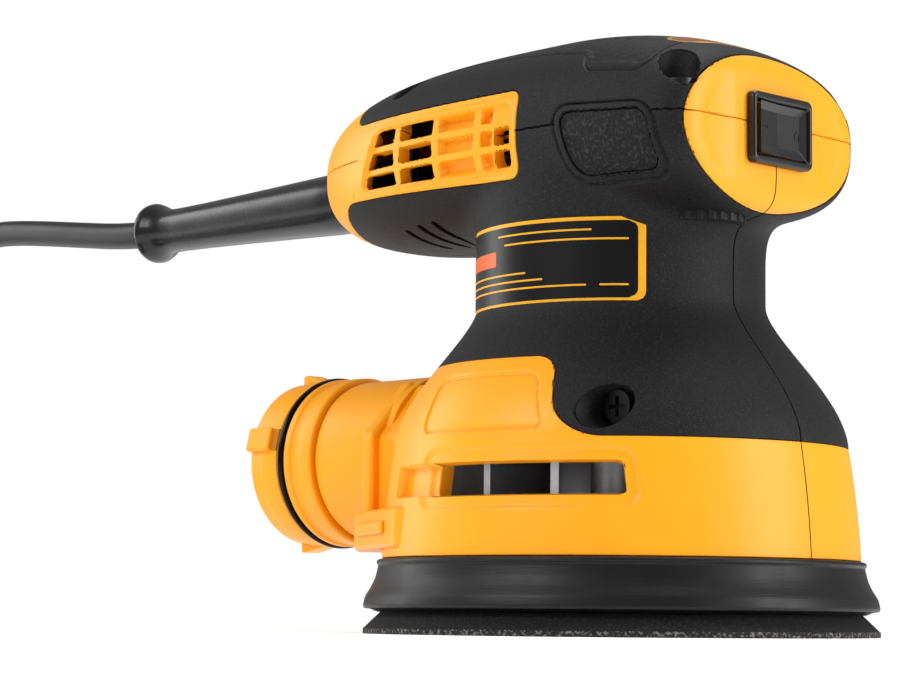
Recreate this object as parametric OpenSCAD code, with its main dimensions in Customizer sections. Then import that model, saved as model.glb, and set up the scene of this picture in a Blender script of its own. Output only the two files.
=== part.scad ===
// Palm-grip random orbit sander, mains powered, with a rear dust collar.
// Millimetres. Origin: centre of the pad's working face, on the motor axis.
// +Z runs up the motor axis, +X points to the switch, +Y to the tool's left hand.

/* [Pad and skirt] */
// Diameter of the sanding pad at its working face
pad_d = 125; // [115:1:150]
// Height of the pad's bevelled rim
pad_rim_h = 5.2; // [4.4:0.1:5.4]
// Thickness of the hook layer under the pad
hook_t = 1.4; // [0.8:0.1:2]
// Diameter of each dust hole through the pad
dust_hole_d = 10; // [6:0.5:12]
// Pitch circle of the dust holes
dust_circle_d = 65; // [62:1:80]
// Orbit diameter of the pad
orbit_d = 2.4; // [1.6:0.1:3]
// Height at which the brake skirt ends
skirt_z = 6; // [6:0.1:7]

/* [Shroud, bell and neck] */
// Diameter of the shroud at its lower edge
shroud_d = 116.2; // [112:0.5:140]
// Height of the shroud's lower edge above the working face
shroud_z = 18.1; // [18:0.1:19]
// Diameter at the shoulder, where the shroud turns into the bell
shoulder_d = 110.4; // [106:0.5:132]
// Height of the shoulder
shoulder_z = 45; // [44.5:0.5:47]
// Diameter of the neck
neck_d = 70.6; // [68:0.2:86]
// Height where the bell has closed to the neck
neck_z = 79.5; // [76:0.5:84]

/* [Head] */
// Height of the head's widest plane
head_mid = 118.7; // [118:0.1:122]
// Reach of the head in front of the motor axis
head_front = 48.3; // [46:0.1:58]
// Reach of the head behind the motor axis
head_rear = 96; // [92:1:115]
// Half of the head's width
head_half = 37; // [36:0.1:44]
// Height of the crown above the widest plane
crown_h = 26.9; // [25:0.1:32]
// Depth of the chin below the widest plane
chin_h = 21.3; // [21:0.1:22]
// Height of the seam between the top cover and the two halves
seam_z = 119.5; // [119:0.1:121]

/* [Mouldings] */
// Total wall of the casing
wall = 4.4; // [4:0.1:5]
// Thickness of the rubber grip moulded over the casing
grip_t = 2; // [1.2:0.1:2.4]
// Gap between casing pieces at a seam
seam_gap = 0.1; // [0.05:0.05:0.2]

/* [Dust outlet] */
// Height of the outlet's axis
port_z = 45; // [44:0.5:47]
// Bore of the collar's mouth, which takes a 35 mm hose cuff
mouth_bore = 35.5; // [30:0.1:43]
// Wall of the collar round its mouth
mouth_wall = 4.65; // [4:0.05:6]
// Step in radius from the mouth's bore out to the spigot that carries the collar
spigot_step = 0.45; // [0.3:0.05:1]
// Wall of the spigot
spigot_wall = 2.2; // [1.8:0.1:3]
// Step in radius from the collar in to the fixed barrel
barrel_step = 0.8; // [0.4:0.1:1.2]
// Radial running clearance of the collar on the spigot
collar_fit = 0.08; // [0.04:0.01:0.1]

/* [Motor] */
// Clearance between the field laminations and the neck's inner wall
field_gap = 0.4; // [0.2:0.1:1]
// Diameter of the armature laminations
armature_d = 33.8; // [28:0.2:36]
// Height of both lamination stacks
stack_h = 31; // [24:1:31]
// Air gap between armature and field
air_gap = 0.5; // [0.4:0.05:1]
// Radius of the fan's blade tips
fan_r = 47; // [42:0.5:48]
// Number of cooling blades on top of the fan
fan_blades = 16; // [10:1:20]
// Radial running clearance of the shafts in their bearings
shaft_fit = 0.03; // [0.02:0.01:0.05]

/* [Cord] */
// Diameter of the mains lead
cord_d = 7.8; // [7:0.1:8]
// Length of the guard outside the casing
guard_len = 86; // [60:1:86]

/* [Hidden] */

yellow = [0.98, 0.70, 0.10];
black = [0.12, 0.12, 0.13];
steel = [0.72, 0.73, 0.75];
copper = [0.72, 0.42, 0.24];
eps = 0.01;

pad_r = pad_d / 2;
shroud_r = shroud_d / 2;
shoulder_r = shoulder_d / 2;
neck_r = neck_d / 2;
crank_a = -48;
crank = orbit_d / 2 * [cos(crank_a), sin(crank_a)];
mouth_r = mouth_bore / 2;
collar_r = mouth_r + mouth_wall;
barrel_r = collar_r - barrel_step;
spigot_r = mouth_r + spigot_step;
spigot_in = spigot_r - spigot_wall;

// ---------- outer form ----------

// Radius of the round body at height z: drafted shroud, S-shaped bell, straight neck.
function bell(t) = pow(1 - pow(t, 1.75), 1.55);
function body_r(z) =
  z < shoulder_z ? shroud_r + (shoulder_r - shroud_r) * (z - shroud_z) / (shoulder_z - shroud_z)
  : z < neck_z ? neck_r + (shoulder_r - neck_r) * bell((z - shoulder_z) / (neck_z - shoulder_z))
  : neck_r;

// Head sections across X are superellipses. Each end closes on its own power curve.
function end_f(x, t) = pow(max(0, 1 - pow(x / (head_front - t), 8)), 1 / 8);
function end_w(x, t) = pow(max(0, 1 - pow(-x / (head_rear - t), 3)), 1 / 2);
function end_t(x, t) =
  (1 + 0.05 * x / head_rear) * pow(max(0, 1 - pow(-x / (head_rear - t), 3.2)), 1 / 2.2);
function end_b(x, t) = pow(max(0, 1 - pow(-x / (head_rear - t), 6)), 1 / 2);
function half_w(x, t) = (head_half - t) * (x > 0 ? end_f(x, t) : end_w(x, t));
function top_h(x, t) = x > 0 ? (crown_h - t - 0.0038 * x * x) * end_f(x, t)
  : (crown_h - t) * end_t(x, t);
function low_h(x, t) = (chin_h - t) * (x > 0 ? end_f(x, t) : end_b(x, t));
function outside(x, y, z, t) =
  x >= head_front - t - eps || x <= t + eps - head_rear ? true
  : pow(abs(y) / half_w(x, t), 2.4)
    + pow(abs(z) / (z > 0 ? top_h(x, t) : low_h(x, t)), 2.4) > 1;

// Distance from the head's centre to its skin along the direction d, by halving.
function reach(d, t, lo, hi, n) =
  n == 0 ? (lo + hi) / 2
  : let (m = (lo + hi) / 2)
    outside(d.x * m, d.y * m, d.z * m, t) ? reach(d, t, lo, m, n - 1) : reach(d, t, m, hi, n - 1);

// Columns crowd towards the nose and the rear, rows towards the widest plane.
head_cols = 40;
head_rows = 14;
function col_a(i) = let (u = 360 * i / head_cols) u - 12 * sin(2 * u);
function row_a(j) = let (v = -90 + 180 * j / head_rows) v - 18 * sin(2 * v);
function head_points(t) = concat(
  [for (j = [1:head_rows - 1], i = [0:head_cols - 1])
    let (a = col_a(i), e = row_a(j), d = [cos(e) * cos(a), cos(e) * sin(a), sin(e)])
    d * reach(d, t, 0, head_rear + 20, 15) + [0, 0, head_mid]],
  [[0, 0, head_mid - low_h(0, t)], [0, 0, head_mid + top_h(0, t)]]);
function ring_faces(cols, rows) = [for (j = [0:rows - 2], i = [0:cols - 1], k = [0, 1])
  let (a = j * cols + i, b = j * cols + (i + 1) % cols)
  k == 0 ? [a, a + cols, b] : [b, a + cols, b + cols]];
head_faces = concat(
  ring_faces(head_cols, head_rows - 1),
  [for (i = [0:head_cols - 1]) [i, (i + 1) % head_cols, (head_rows - 1) * head_cols]],
  [for (i = [0:head_cols - 1])
    let (top = (head_rows - 2) * head_cols)
    [top + (i + 1) % head_cols, top + i, (head_rows - 1) * head_cols + 1]]);

module head(t) {
  polyhedron(head_points(t), head_faces, convexity = 4);
}

// Round body from its lower edge to the middle of the head, drawn in by t.
body_steps = 10;
module round_body(t, low = 0) {
  zs = concat([shroud_z - low], [for (k = [0:body_steps]) shoulder_z
    + (neck_z - shoulder_z) * k / body_steps], [head_mid - 8]);
  rotate_extrude($fn = 60)
    polygon(concat([[0, zs[0]]], [for (z = zs) [body_r(max(z, shroud_z)) - t, z]],
      [[0, head_mid - 8]]));
}

// Box-shaped tail behind the shroud, chamfered to the outlet's barrel.
tail_x = -66;
tail_half = max(25, barrel_r + 3.4);
tail_floor = port_z - barrel_r - 3.2;
tail_step = port_z + 5;
tail_top = port_z + barrel_r - 2.6;
module tail(t) {
  hull() {
    translate([tail_x + t, t - tail_half, tail_floor + t])
      cube([50 - t, 2 * (tail_half - t), tail_step - tail_floor - 1.4 * t]);
    translate([tail_x + t, t - 11, tail_floor + t])
      cube([50 - t, 2 * (11 - t), tail_top - tail_floor - 2 * t]);
  }
}

module envelope(t, low = 0) {
  head(t);
  round_body(t, low);
  tail(t);
}

// A moulded skin is meshed as one surface.
module skin() {
  resize([0, 0, 0]) children();
}

// ---------- colour break between casing and grip ----------

tongue_x = 22;
tongue_z = 64.3;
vent_x = [-57, -7];
vent_z = [111, 126.4];
// Side view of the casing areas left bare by the grip.
module bare_side() {
  translate([-150, 0]) square([350, shoulder_z]);
  offset(r = -6) offset(delta = 6) {
    translate([-150, 0]) square([350, shoulder_z]);
    offset(r = 5) offset(delta = -5)
      translate([-150, 0]) square([150 + tongue_x, tongue_z]);
  }
  offset(r = 3) offset(delta = -3)
    polygon([[-1, 109.4], [-1, 129.3], [-52, 128.6], [-80, 138], [-120, 150], [-120, 90],
      [-61, 90], [-60, 103], [-56, 107.6]]);
}
cap_z = head_mid - 1.2;
cap_half = [32, 19.2];
module bare_zone(grow = 0) {
  rotate([90, 0, 0]) translate([0, 0, -80])
    linear_extrude(160) offset(delta = grow) bare_side();
  translate([38, 0, cap_z]) rotate([90, 0, 90]) linear_extrude(20)
    offset(delta = grow) scale([cap_half.x / 20, cap_half.y / 20]) circle(20, $fn = 64);
}

// ---------- casing ----------

window_z = [32, 39.6];
window_a = [48, 101];
grille_rows = 3;
grille_cols = 4;
grille_bar = 1.8;
slot_h = (vent_z[1] - vent_z[0] - (grille_rows - 1) * grille_bar) / grille_rows;
slot_w = (vent_x[1] - vent_x[0] - (grille_cols - 1) * grille_bar) / grille_cols;
// Each casing screw: x, z, the side it enters from, and how far out its head seats.
house_screws = [[32, 52, -1, 35.5], [-40, 57, 1, 26.4]];
house_screw_len = 44;
cover_spots = [[42, 28], [-50, 24]];
screw_r = 2;
head_screw_r = 3.8;
boss_r = 5;
dial_at = [31, -7];
dial_r = 11;
dial_z = [97, 101];
spindle_r = 2.5;
board_z = 105;

// Exhaust windows: a wedge of the shroud's wall between two angles, on both sides.
module windows() {
  for (s = [-1, 1]) rotate([0, 0, s * (window_a[0] + window_a[1]) / 2])
    translate([0, 0, window_z[0]])
      rotate([0, 0, -(window_a[1] - window_a[0]) / 2])
        rotate_extrude(angle = window_a[1] - window_a[0], $fn = 60)
          translate([fan_r + 1, 0]) square([20, window_z[1] - window_z[0]]);
}

module grille_slots() {
  for (i = [0:grille_cols - 1], j = [0:grille_rows - 1])
    translate([vent_x[0] + i * (slot_w + grille_bar), -50, vent_z[0] + j * (slot_h + grille_bar)])
      cube([slot_w, 100, slot_h]);
}

// Three curved cooling slots in the grip below each grille.
module chin_slots() {
  for (s = [-1, 1], k = [0:2])
    translate([-53.5 + 7 * k, s * 17, head_mid - chin_h]) cube([1.8, 18, 14], center = true);
}

module dust_way() {
  translate([tail_x - 1, 0, port_z]) rotate([0, 90, 0])
    cylinder(r = barrel_r - 3, h = 16, $fn = 48);
  translate([tail_x + 4, -15, 24]) cube([22, 30, 17]);
}

module guard_hole(r) {
  translate([-head_rear - 4, 0, guard_z]) rotate([0, 90, 0]) cylinder(r = r, h = 40, $fn = 40);
}

module switch_hole() {
  translate([30, -10.7, head_mid - 8.2]) cube([30, 21.4, 15.2]);
}

module bosses() {
  for (p = house_screws) translate([p.x, 0, p.y]) rotate([90, 0, 0])
    cylinder(r = boss_r, h = 72, center = true, $fn = 24);
}

module house_screw_holes() {
  for (p = house_screws) translate([p.x, p[2] * p[3], p.y]) rotate([-90 * p[2], 0, 0]) {
    translate([0, 0, -house_screw_len - 1])
      cylinder(r = screw_r + 0.2, h = house_screw_len + 1.5, $fn = 16);
    translate([0, 0, -0.05]) cylinder(r = head_screw_r + 0.9, h = 40, $fn = 24);
  }
}

module cover_bosses() {
  for (p = cover_spots, s = [-1, 1]) translate([p.x, s * p.y, head_mid - 12])
    cylinder(r = boss_r, h = 30, $fn = 24);
}

module cover_screw_holes() {
  for (p = cover_spots, s = [-1, 1]) translate([p.x, s * p.y, 0]) {
    translate([0, 0, head_mid - 10]) cylinder(r = screw_r + 0.2, h = 30, $fn = 16);
    translate([0, 0, head_mid + 6]) cylinder(r = head_screw_r + 0.9, h = 30, $fn = 24);
  }
}

module dial_slot() {
  translate([dial_at.x, dial_at.y, dial_z[0] - 0.5])
    cylinder(r = dial_r + 0.6, h = dial_z[1] - dial_z[0] + 1, $fn = 48);
  translate([dial_at.x, dial_at.y, dial_z[1]]) cylinder(r = spindle_r + 0.6, h = 8, $fn = 24);
}

// Ring that the bearing plate rests on.
module plate_ledge() {
  translate([0, 0, plate_z - 2.1]) difference() {
    cylinder(r = shoulder_r, h = 2.05, $fn = 60);
    translate([0, 0, -1]) cylinder(r = fan_r + 1.5, h = 5, $fn = 60);
  }
}

// Ribs that hold the upper bearing's rubber boot.
module bearing_ribs() {
  difference() {
    translate([-6, -34, bearing_top - 6.4]) cube([12, 68, 6]);
    translate([0, 0, bearing_top - 8]) cylinder(r = boot_r + 0.1, h = 12, $fn = 40);
  }
}

module casing() {
  difference() {
    union() {
      difference() {
        union() {
          envelope(grip_t + 0.05);
          intersection() {
            envelope(0);
            bare_zone(-0.05);
          }
        }
        envelope(wall, low = 2);
      }
      intersection() {
        envelope(grip_t + 0.05);
        union() {
          bosses();
          cover_bosses();
          plate_ledge();
          bearing_ribs();
        }
      }
    }
    windows();
    grille_slots();
    dust_way();
    guard_hole(guard_r + 0.3);
    switch_hole();
    house_screw_holes();
    cover_screw_holes();
    dial_slot();
    chin_slots();
  }
}

module below_seam(side) {
  translate([-150, side > 0 ? seam_gap / 2 : -100 - seam_gap / 2, 0])
    cube([250, 100, seam_z - seam_gap / 2]);
}

module above_seam() {
  translate([-150, -100, seam_z + seam_gap / 2]) cube([250, 200, 80]);
}

module top_cover() {
  color(yellow) skin() intersection() {
    casing();
    above_seam();
  }
}

module left_housing() {
  color(yellow) skin() intersection() {
    casing();
    below_seam(1);
  }
}

module right_housing() {
  color(yellow) skin() intersection() {
    casing();
    below_seam(-1);
  }
}

module grip() {
  difference() {
    envelope(0);
    envelope(grip_t);
    bare_zone();
    house_screw_holes();
    cover_screw_holes();
    dial_slot();
    chin_slots();
    label_seat();
  }
}

module top_grip() {
  color(black) skin() intersection() {
    grip();
    above_seam();
  }
}

module left_grip() {
  color(black) skin() intersection() {
    grip();
    below_seam(1);
  }
}

module right_grip() {
  color(black) skin() intersection() {
    grip();
    below_seam(-1);
  }
}

// ---------- plates ----------

label_z = [78.6, 96.6];
label_a = [-139, -41];
label_t = 0.4;
module label_ring(grow) {
  rotate([0, 0, label_a[0] - grow]) rotate_extrude(angle = label_a[1] - label_a[0] + 2 * grow,
    $fn = 72) translate([neck_r - label_t - 0.1, label_z[0] - grow])
    square([label_t + 1, label_z[1] - label_z[0] + 2 * grow]);
}

module label_seat() {
  difference() {
    label_ring(0.2);
    cylinder(r = neck_r - label_t, h = 200, $fn = 72);
  }
}

module nameplate() {
  color([0.06, 0.06, 0.07]) rotate([0, 0, label_a[0]])
    rotate_extrude(angle = label_a[1] - label_a[0], $fn = 72)
      translate([neck_r - label_t + 0.05, label_z[0]])
        square([label_t - 0.1, label_z[1] - label_z[0]]);
}

// Thin plate that follows the crown.
badge_x = [27, 39];
badge_half = 20;
module top_badge() {
  color([0.8, 0.5, 0.2]) difference() {
    intersection() {
      head(-0.35);
      translate([badge_x[0], -badge_half, head_mid + 8])
        cube([badge_x[1] - badge_x[0], 2 * badge_half, 30]);
    }
    head(-0.05);
  }
}

// ---------- fasteners ----------

module pan_screw(shank_r, shank, head_r, head_h) {
  difference() {
    union() {
      translate([0, 0, -shank]) cylinder(r = shank_r, h = shank, $fn = 24);
      cylinder(r = head_r, h = head_h, $fn = 32);
    }
    for (a = [0, 90]) rotate([0, 0, a])
      translate([-head_r * 0.62, -0.5, head_h - 1.1]) cube([head_r * 1.24, 1, 2]);
  }
}

module housing_screws() {
  color(steel) for (p = house_screws) translate([p.x, p[2] * p[3], p.y])
    rotate([-90 * p[2], 0, 0]) pan_screw(screw_r, house_screw_len, head_screw_r, 2.4);
}

module cover_screws() {
  color(steel) for (p = cover_spots, s = [-1, 1])
    translate([p.x, s * p.y, head_mid + 6.1]) pan_screw(screw_r, 15, head_screw_r, 2.4);
}

// ---------- switch and speed control ----------

bezel = [22.2, 16.8];
rocker = [18.2, 11.8];
rocker_x = 45.4;
rocker_pin_r = 1.2;
bezel_x = [head_front + 0.1, head_front + 2.3];
module switch_body() {
  color(black) difference() {
    union() {
      translate([bezel_x[0], 0, head_mid - 0.6]) rotate([90, 0, 90])
        linear_extrude(bezel_x[1] - bezel_x[0]) offset(r = 1.6) offset(delta = -1.6)
          square(bezel, center = true);
      translate([24, -10.5, head_mid - 8]) cube([bezel_x[0] - 24 + eps, 21, 14.8]);
    }
    translate([rocker_x - 8, -rocker.x / 2 - 0.6, head_mid - 0.6 - rocker.y / 2 - 0.35])
      cube([40, rocker.x + 1.2, rocker.y + 0.7]);
    translate([rocker_x, 0, head_mid - 0.6 - rocker.y / 2 - 1])
      cylinder(r = rocker_pin_r + 0.05, h = rocker.y + 2, $fn = 32);
  }
}

// Rocker with a shallow valley, hinged on an upright pin. Its +Y side is pressed in at rest.
module switch_rocker() {
  half = rocker.x / 2;
  color([0.2, 0.2, 0.22]) translate([rocker_x, 0, head_mid - 0.6 - rocker.y / 2]) {
    linear_extrude(rocker.y) polygon([[-3.4, -3], [-0.6, -half + 0.9], [2.6, -half],
      [4.9, -half + 0.35], [3.6, -0.4], [3.6, half], [1.2, half], [-3.4, 3]]);
    translate([0, 0, -0.8]) cylinder(r = rocker_pin_r, h = rocker.y + 1.6, $fn = 32);
  }
}

module speed_dial() {
  color(black) translate([dial_at.x, dial_at.y, 0]) difference() {
    union() {
      translate([0, 0, dial_z[0]]) cylinder(r = dial_r, h = dial_z[1] - dial_z[0], $fn = 64);
      translate([0, 0, dial_z[1] - eps]) cylinder(r = spindle_r, h = 5, $fn = 32);
    }
    for (k = [0:23]) rotate([0, 0, 15 * k]) translate([dial_r + 0.4, 0, dial_z[0] - 1])
      cylinder(r = 1, h = 8, $fn = 16);
  }
}

module speed_module() {
  color("darkgreen") difference() {
    union() {
      translate([14.5, -16, board_z]) cube([23.5, 28, 1.6]);
      translate([16, 3, board_z + 1.6]) cube([8, 8, 3.2]);
      translate([17, -14, board_z + 1.6]) cube([6, 7, 3]);
    }
    translate([dial_at.x, dial_at.y, board_z - 2]) cylinder(r = spindle_r + 0.5, h = 6, $fn = 24);
  }
}

// ---------- motor ----------

stack_z = 61;
stack_top = stack_z + stack_h;
field_r = neck_r - wall - field_gap;
field_bore = armature_d / 2 + air_gap;
bearing_top = 119.2;
boot_r = 12;
shaft_r = 6;
tip_r = 3.5;
lower_bearing_z = 47.6;

module coil_sector(r0, r1, z0, z1, angle) {
  for (s = [0, 180]) rotate([0, 0, s - angle / 2]) translate([0, 0, z0])
    rotate_extrude(angle = angle, $fn = 64) translate([r0, 0]) square([r1 - r0, z1 - z0]);
}

module field_core() {
  color(steel) difference() {
    translate([0, 0, stack_z]) cylinder(r = field_r, h = stack_h, $fn = 96);
    translate([0, 0, stack_z - 1]) cylinder(r = field_bore, h = stack_h + 2, $fn = 96);
    coil_sector(field_bore + 1.7, field_r - 4, stack_z - 1, stack_top + 1, 118);
  }
}

module field_windings() {
  color(copper) coil_sector(field_bore + 2, field_r - 4.3, stack_z - 4.6, stack_top + 4.6, 114);
}

module motor_shaft() {
  color(steel) {
    translate([0, 0, 20.2]) cylinder(r = shaft_r - shaft_fit, h = 80, $fn = 48);
    translate([0, 0, 100.2 - eps]) cylinder(r = tip_r - shaft_fit, h = 20 + eps, $fn = 48);
  }
}

module armature_core() {
  color(steel) difference() {
    translate([0, 0, stack_z]) cylinder(r = armature_d / 2, h = stack_h, $fn = 96);
    translate([0, 0, stack_z - 1]) cylinder(r = shaft_r, h = stack_h + 2, $fn = 48);
    for (k = [0:13]) rotate([0, 0, k * 360 / 14]) translate([armature_d / 2 - 4.5, -0.7, 0])
      cube([9, 1.4, 200]);
  }
}

module armature_windings() {
  color(copper) for (z = [stack_z - 4.6, stack_top + 0.1]) translate([0, 0, z]) difference() {
    cylinder(r = armature_d / 2 - 2, h = 4.5, $fn = 64);
    translate([0, 0, -1]) cylinder(r = shaft_r, h = 8, $fn = 48);
  }
}

commutator_r = 10.5;
commutator_z = [100.4, 111.4];
module commutator() {
  color(copper) translate([0, 0, commutator_z[0]]) difference() {
    cylinder(r = commutator_r, h = commutator_z[1] - commutator_z[0], $fn = 64);
    translate([0, 0, -1]) cylinder(r = tip_r, h = 20, $fn = 48);
    for (k = [0:13]) rotate([0, 0, k * 360 / 14]) translate([commutator_r - 1, -0.25, -1])
      cube([3, 0.5, 20]);
  }
}

module bearing(bore_r, outer_r, height) {
  difference() {
    cylinder(r = outer_r, h = height, $fn = 64);
    translate([0, 0, -1]) cylinder(r = bore_r, h = height + 2, $fn = 64);
    for (z = [-1, height - 0.6]) translate([0, 0, z]) difference() {
      cylinder(r = outer_r - 1.6, h = 1.6, $fn = 64);
      translate([0, 0, -1]) cylinder(r = bore_r + 1.4, h = 4, $fn = 64);
    }
  }
}

module upper_bearing() {
  color(steel) translate([0, 0, bearing_top - 6.2]) bearing(tip_r, 9.5, 6);
}

module bearing_boot() {
  color(black) translate([0, 0, bearing_top - 6.4]) difference() {
    cylinder(r = boot_r, h = 6.6, $fn = 64);
    translate([0, 0, -1]) cylinder(r = 9.55, h = 9, $fn = 64);
  }
}

module lower_bearing() {
  color(steel) translate([0, 0, lower_bearing_z]) bearing(shaft_r, 14, 8);
}

plate_z = 44.4;
plate_r = shoulder_r - wall - 0.4;
plate_screw_at = [22, 45, 67];
module bearing_plate() {
  color("dimgray") difference() {
    union() {
      translate([0, 0, plate_z]) cylinder(r = plate_r - 0.4, h = 2.4, $fn = 96);
      translate([0, 0, plate_z]) cylinder(r = 18, h = 11.8, $fn = 64);
    }
    translate([0, 0, lower_bearing_z - 0.1]) cylinder(r = 14.05, h = 20, $fn = 64);
    translate([0, 0, plate_z - 1]) cylinder(r = 10.5, h = 20, $fn = 64);
    for (k = [0:5]) rotate([0, 0, 60 * k + 30]) translate([33, 0, plate_z - 1])
      cylinder(r = 8, h = 6, $fn = 32);
    for (k = [0:2]) rotate([0, 0, 120 * k]) translate([40, 0, plate_z - 1])
      cylinder(r = 1.9, h = 6, $fn = 24);
  }
}

module plate_screws() {
  color(steel) for (k = [0:2]) rotate([0, 0, 120 * k])
    translate([40, 0, plate_z + 2.45]) pan_screw(1.7, 4.3, 3.2, 2);
}

brush_z = 106;
brush = [5, 6, 8];
brush_in = commutator_r + 0.12;
module brush_holders() {
  color("goldenrod") for (s = [0, 180]) rotate([0, 0, s]) difference() {
    translate([-3.7, commutator_r + 2, brush_z - 4.2]) cube([7.4, 16, 8.4]);
    translate([-2.7, commutator_r + 1, brush_z - 3.2]) cube([5.4, 16, 6.4]);
  }
}

module carbon_brushes() {
  color([0.2, 0.2, 0.2]) for (s = [0, 180]) rotate([0, 0, s])
    translate([-2.5, brush_in, brush_z - 3]) cube([5, 9, 6]);
}

spring_r = 1.9;
module brush_springs() {
  color(steel) for (s = [0, 180], k = [0:5]) rotate([0, 0, s])
    translate([0, brush_in + 9.6 + 1.35 * k, brush_z]) rotate([90, 0, 0])
      rotate_extrude($fn = 24) translate([spring_r, 0]) circle(0.4, $fn = 16);
}

module brush_leads() {
  color("firebrick") for (s = [0, 180]) rotate([0, 0, s]) {
    translate([-3.4, commutator_r + 18.02, brush_z - 3.9]) cube([6.8, 1, 7.8]);
    translate([0, commutator_r + 18.55, brush_z + 3.8]) cylinder(r = 0.45, h = 2.8, $fn = 16);
  }
}

// ---------- fan, counterweight and pad drive ----------

disc_z = 29;
module fan() {
  color([0.8, 0.8, 0.82]) difference() {
    union() {
      translate([0, 0, disc_z]) cylinder(r = fan_r - 1, h = 2, $fn = 96);
      translate([0, 0, disc_z - 1.5]) cylinder(r = 11, h = 15, $fn = 64);
      for (k = [0:fan_blades - 1]) rotate([0, 0, k * 360 / fan_blades])
        translate([25, -1, disc_z + 1]) cube([fan_r - 25, 2, 12]);
      for (k = [0:9]) rotate([0, 0, 36 * k + 9])
        translate([31, -1, 20.6]) cube([fan_r - 32, 2, disc_z - 19.6]);
    }
    translate([0, 0, 10]) cylinder(r = shaft_r, h = 60, $fn = 48);
  }
}

// Half-ring of steel opposite the eccentric, riveted under the fan.
module counterweight() {
  color(steel) rotate([0, 0, crank_a]) difference() {
    translate([0, 0, 20.4]) cylinder(r = 28, h = disc_z - 20.5, $fn = 64);
    translate([0, 0, 0]) cylinder(r = 13, h = 60, $fn = 48);
    translate([0, -40, 0]) cube([80, 80, 60]);
  }
}

pad_bearing_z = 8.8;
pin_r = 7.5;
bearing_r = 17.5;
module eccentric_pin() {
  color(steel) {
    translate([crank.x, crank.y, pad_bearing_z + 0.2]) cylinder(r = pin_r - shaft_fit, h = 9.6, $fn = 64);
    translate([0, 0, 18.6 - eps]) cylinder(r = 10.4, h = 1.6 - eps, $fn = 64);
  }
}

module pad_bearing() {
  color(steel) translate([crank.x, crank.y, pad_bearing_z]) bearing(pin_r, bearing_r, 9);
}

hub_z = 8;
module pad_hub() {
  color("dimgray") translate([crank.x, crank.y, 0]) difference() {
    union() {
      translate([0, 0, hub_z]) cylinder(r = 30, h = 1.8, $fn = 64);
      translate([0, 0, hub_z]) cylinder(r = 20.5, h = 10.9, $fn = 64);
    }
    translate([0, 0, pad_bearing_z - 0.05]) cylinder(r = bearing_r + 0.05, h = 20, $fn = 64);
    translate([0, 0, hub_z - 1]) cylinder(r = 12, h = 20, $fn = 48);
    for (k = [0:3]) rotate([0, 0, 90 * k]) translate([25, 0, hub_z - 1])
      cylinder(r = 2, h = 10, $fn = 24);
  }
}

// Snap ring that keeps the bearing in its cup.
module bearing_clip() {
  color(steel) translate([crank.x, crank.y, pad_bearing_z + 9.02]) rotate([0, 0, 15])
    rotate_extrude(angle = 330, $fn = 64) translate([16.4, 0]) square([1, 0.9]);
}

module pad_holes(z0, z1) {
  for (k = [0:7]) rotate([0, 0, 45 * k + 22.5]) translate([dust_circle_d / 2, 0, z0])
    cylinder(d = dust_hole_d, h = z1 - z0, $fn = 40);
}

module backing_pad() {
  color(black) translate([crank.x, crank.y, 0]) difference() {
    union() {
      translate([0, 0, hook_t]) cylinder(r1 = pad_r - 0.2, r2 = pad_r - 4.2,
        h = pad_rim_h - hook_t, $fn = 128);
      translate([0, 0, pad_rim_h - eps]) cylinder(r1 = 46, r2 = 44, h = hub_z - pad_rim_h + eps,
        $fn = 96);
    }
    pad_holes(0, 20);
    for (k = [0:3]) rotate([0, 0, 90 * k]) translate([25, 0, 0]) {
      cylinder(r = 2.2, h = 20, $fn = 24);
      cylinder(r = 4.4, h = 4.6, $fn = 32);
    }
  }
}

module hook_face() {
  color([0.16, 0.15, 0.15]) translate([crank.x, crank.y, 0]) difference() {
    cylinder(r = pad_r, h = hook_t - 0.02, $fn = 128);
    pad_holes(-1, 20);
    for (k = [0:3]) rotate([0, 0, 90 * k]) translate([25, 0, -1])
      cylinder(r = 4.4, h = 6, $fn = 32);
  }
}

module pad_screws() {
  color(steel) translate([crank.x, crank.y, 0]) for (k = [0:3]) rotate([0, 0, 90 * k])
    translate([25, 0, 4.5]) mirror([0, 0, 1]) pan_screw(1.95, 6.6, 4, 2.4);
}

// Rubber brake skirt: a concave flared ring that plugs into the shroud.
module brake_skirt() {
  rim = shroud_r - wall - 1.2;
  lip = pad_r + 0.1;
  color(black) rotate_extrude($fn = 128) polygon([
    [lip - 1.6, skirt_z], [lip - 0.5, skirt_z + 0.1], [lip, skirt_z + 0.8], [lip - 0.2, skirt_z + 2.4],
    [lip - 1.3, skirt_z + 5], [lip - 2.7, skirt_z + 8], [lip - 3.4, skirt_z + 9.8],
    [shroud_r + 1, shroud_z - 1.1], [shroud_r + 0.8, shroud_z - 0.3], [shroud_r - 1, shroud_z - 0.1],
    [rim, shroud_z - 0.1], [rim, shroud_z + 6], [rim - 1.8, shroud_z + 6],
    [rim - 1.8, shroud_z - 1.8], [lip - 6, skirt_z + 9], [lip - 3.4, skirt_z + 4.6],
    [lip - 2, skirt_z + 1.4]]);
}

// ---------- dust outlet ----------

barrel_x = -88;
spigot_x = -99;
mouth_x = -112.5;
module lathe_x(x0, x1, r0, r1) {
  translate([x1, 0, port_z]) rotate([0, 90, 0]) cylinder(r1 = r1, r2 = r0, h = x0 - x1, $fn = 96);
}

module dust_port() {
  color(yellow) difference() {
    union() {
      lathe_x(tail_x - 0.15, barrel_x, barrel_r, barrel_r - 0.4);
      lathe_x(barrel_x + 1, spigot_x, spigot_r, spigot_r);
      lathe_x(tail_x + 14, tail_x - 1, barrel_r - 3.3, barrel_r - 3.3);
    }
    lathe_x(tail_x + 20, spigot_x - 1, spigot_in, spigot_in);
  }
}

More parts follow.
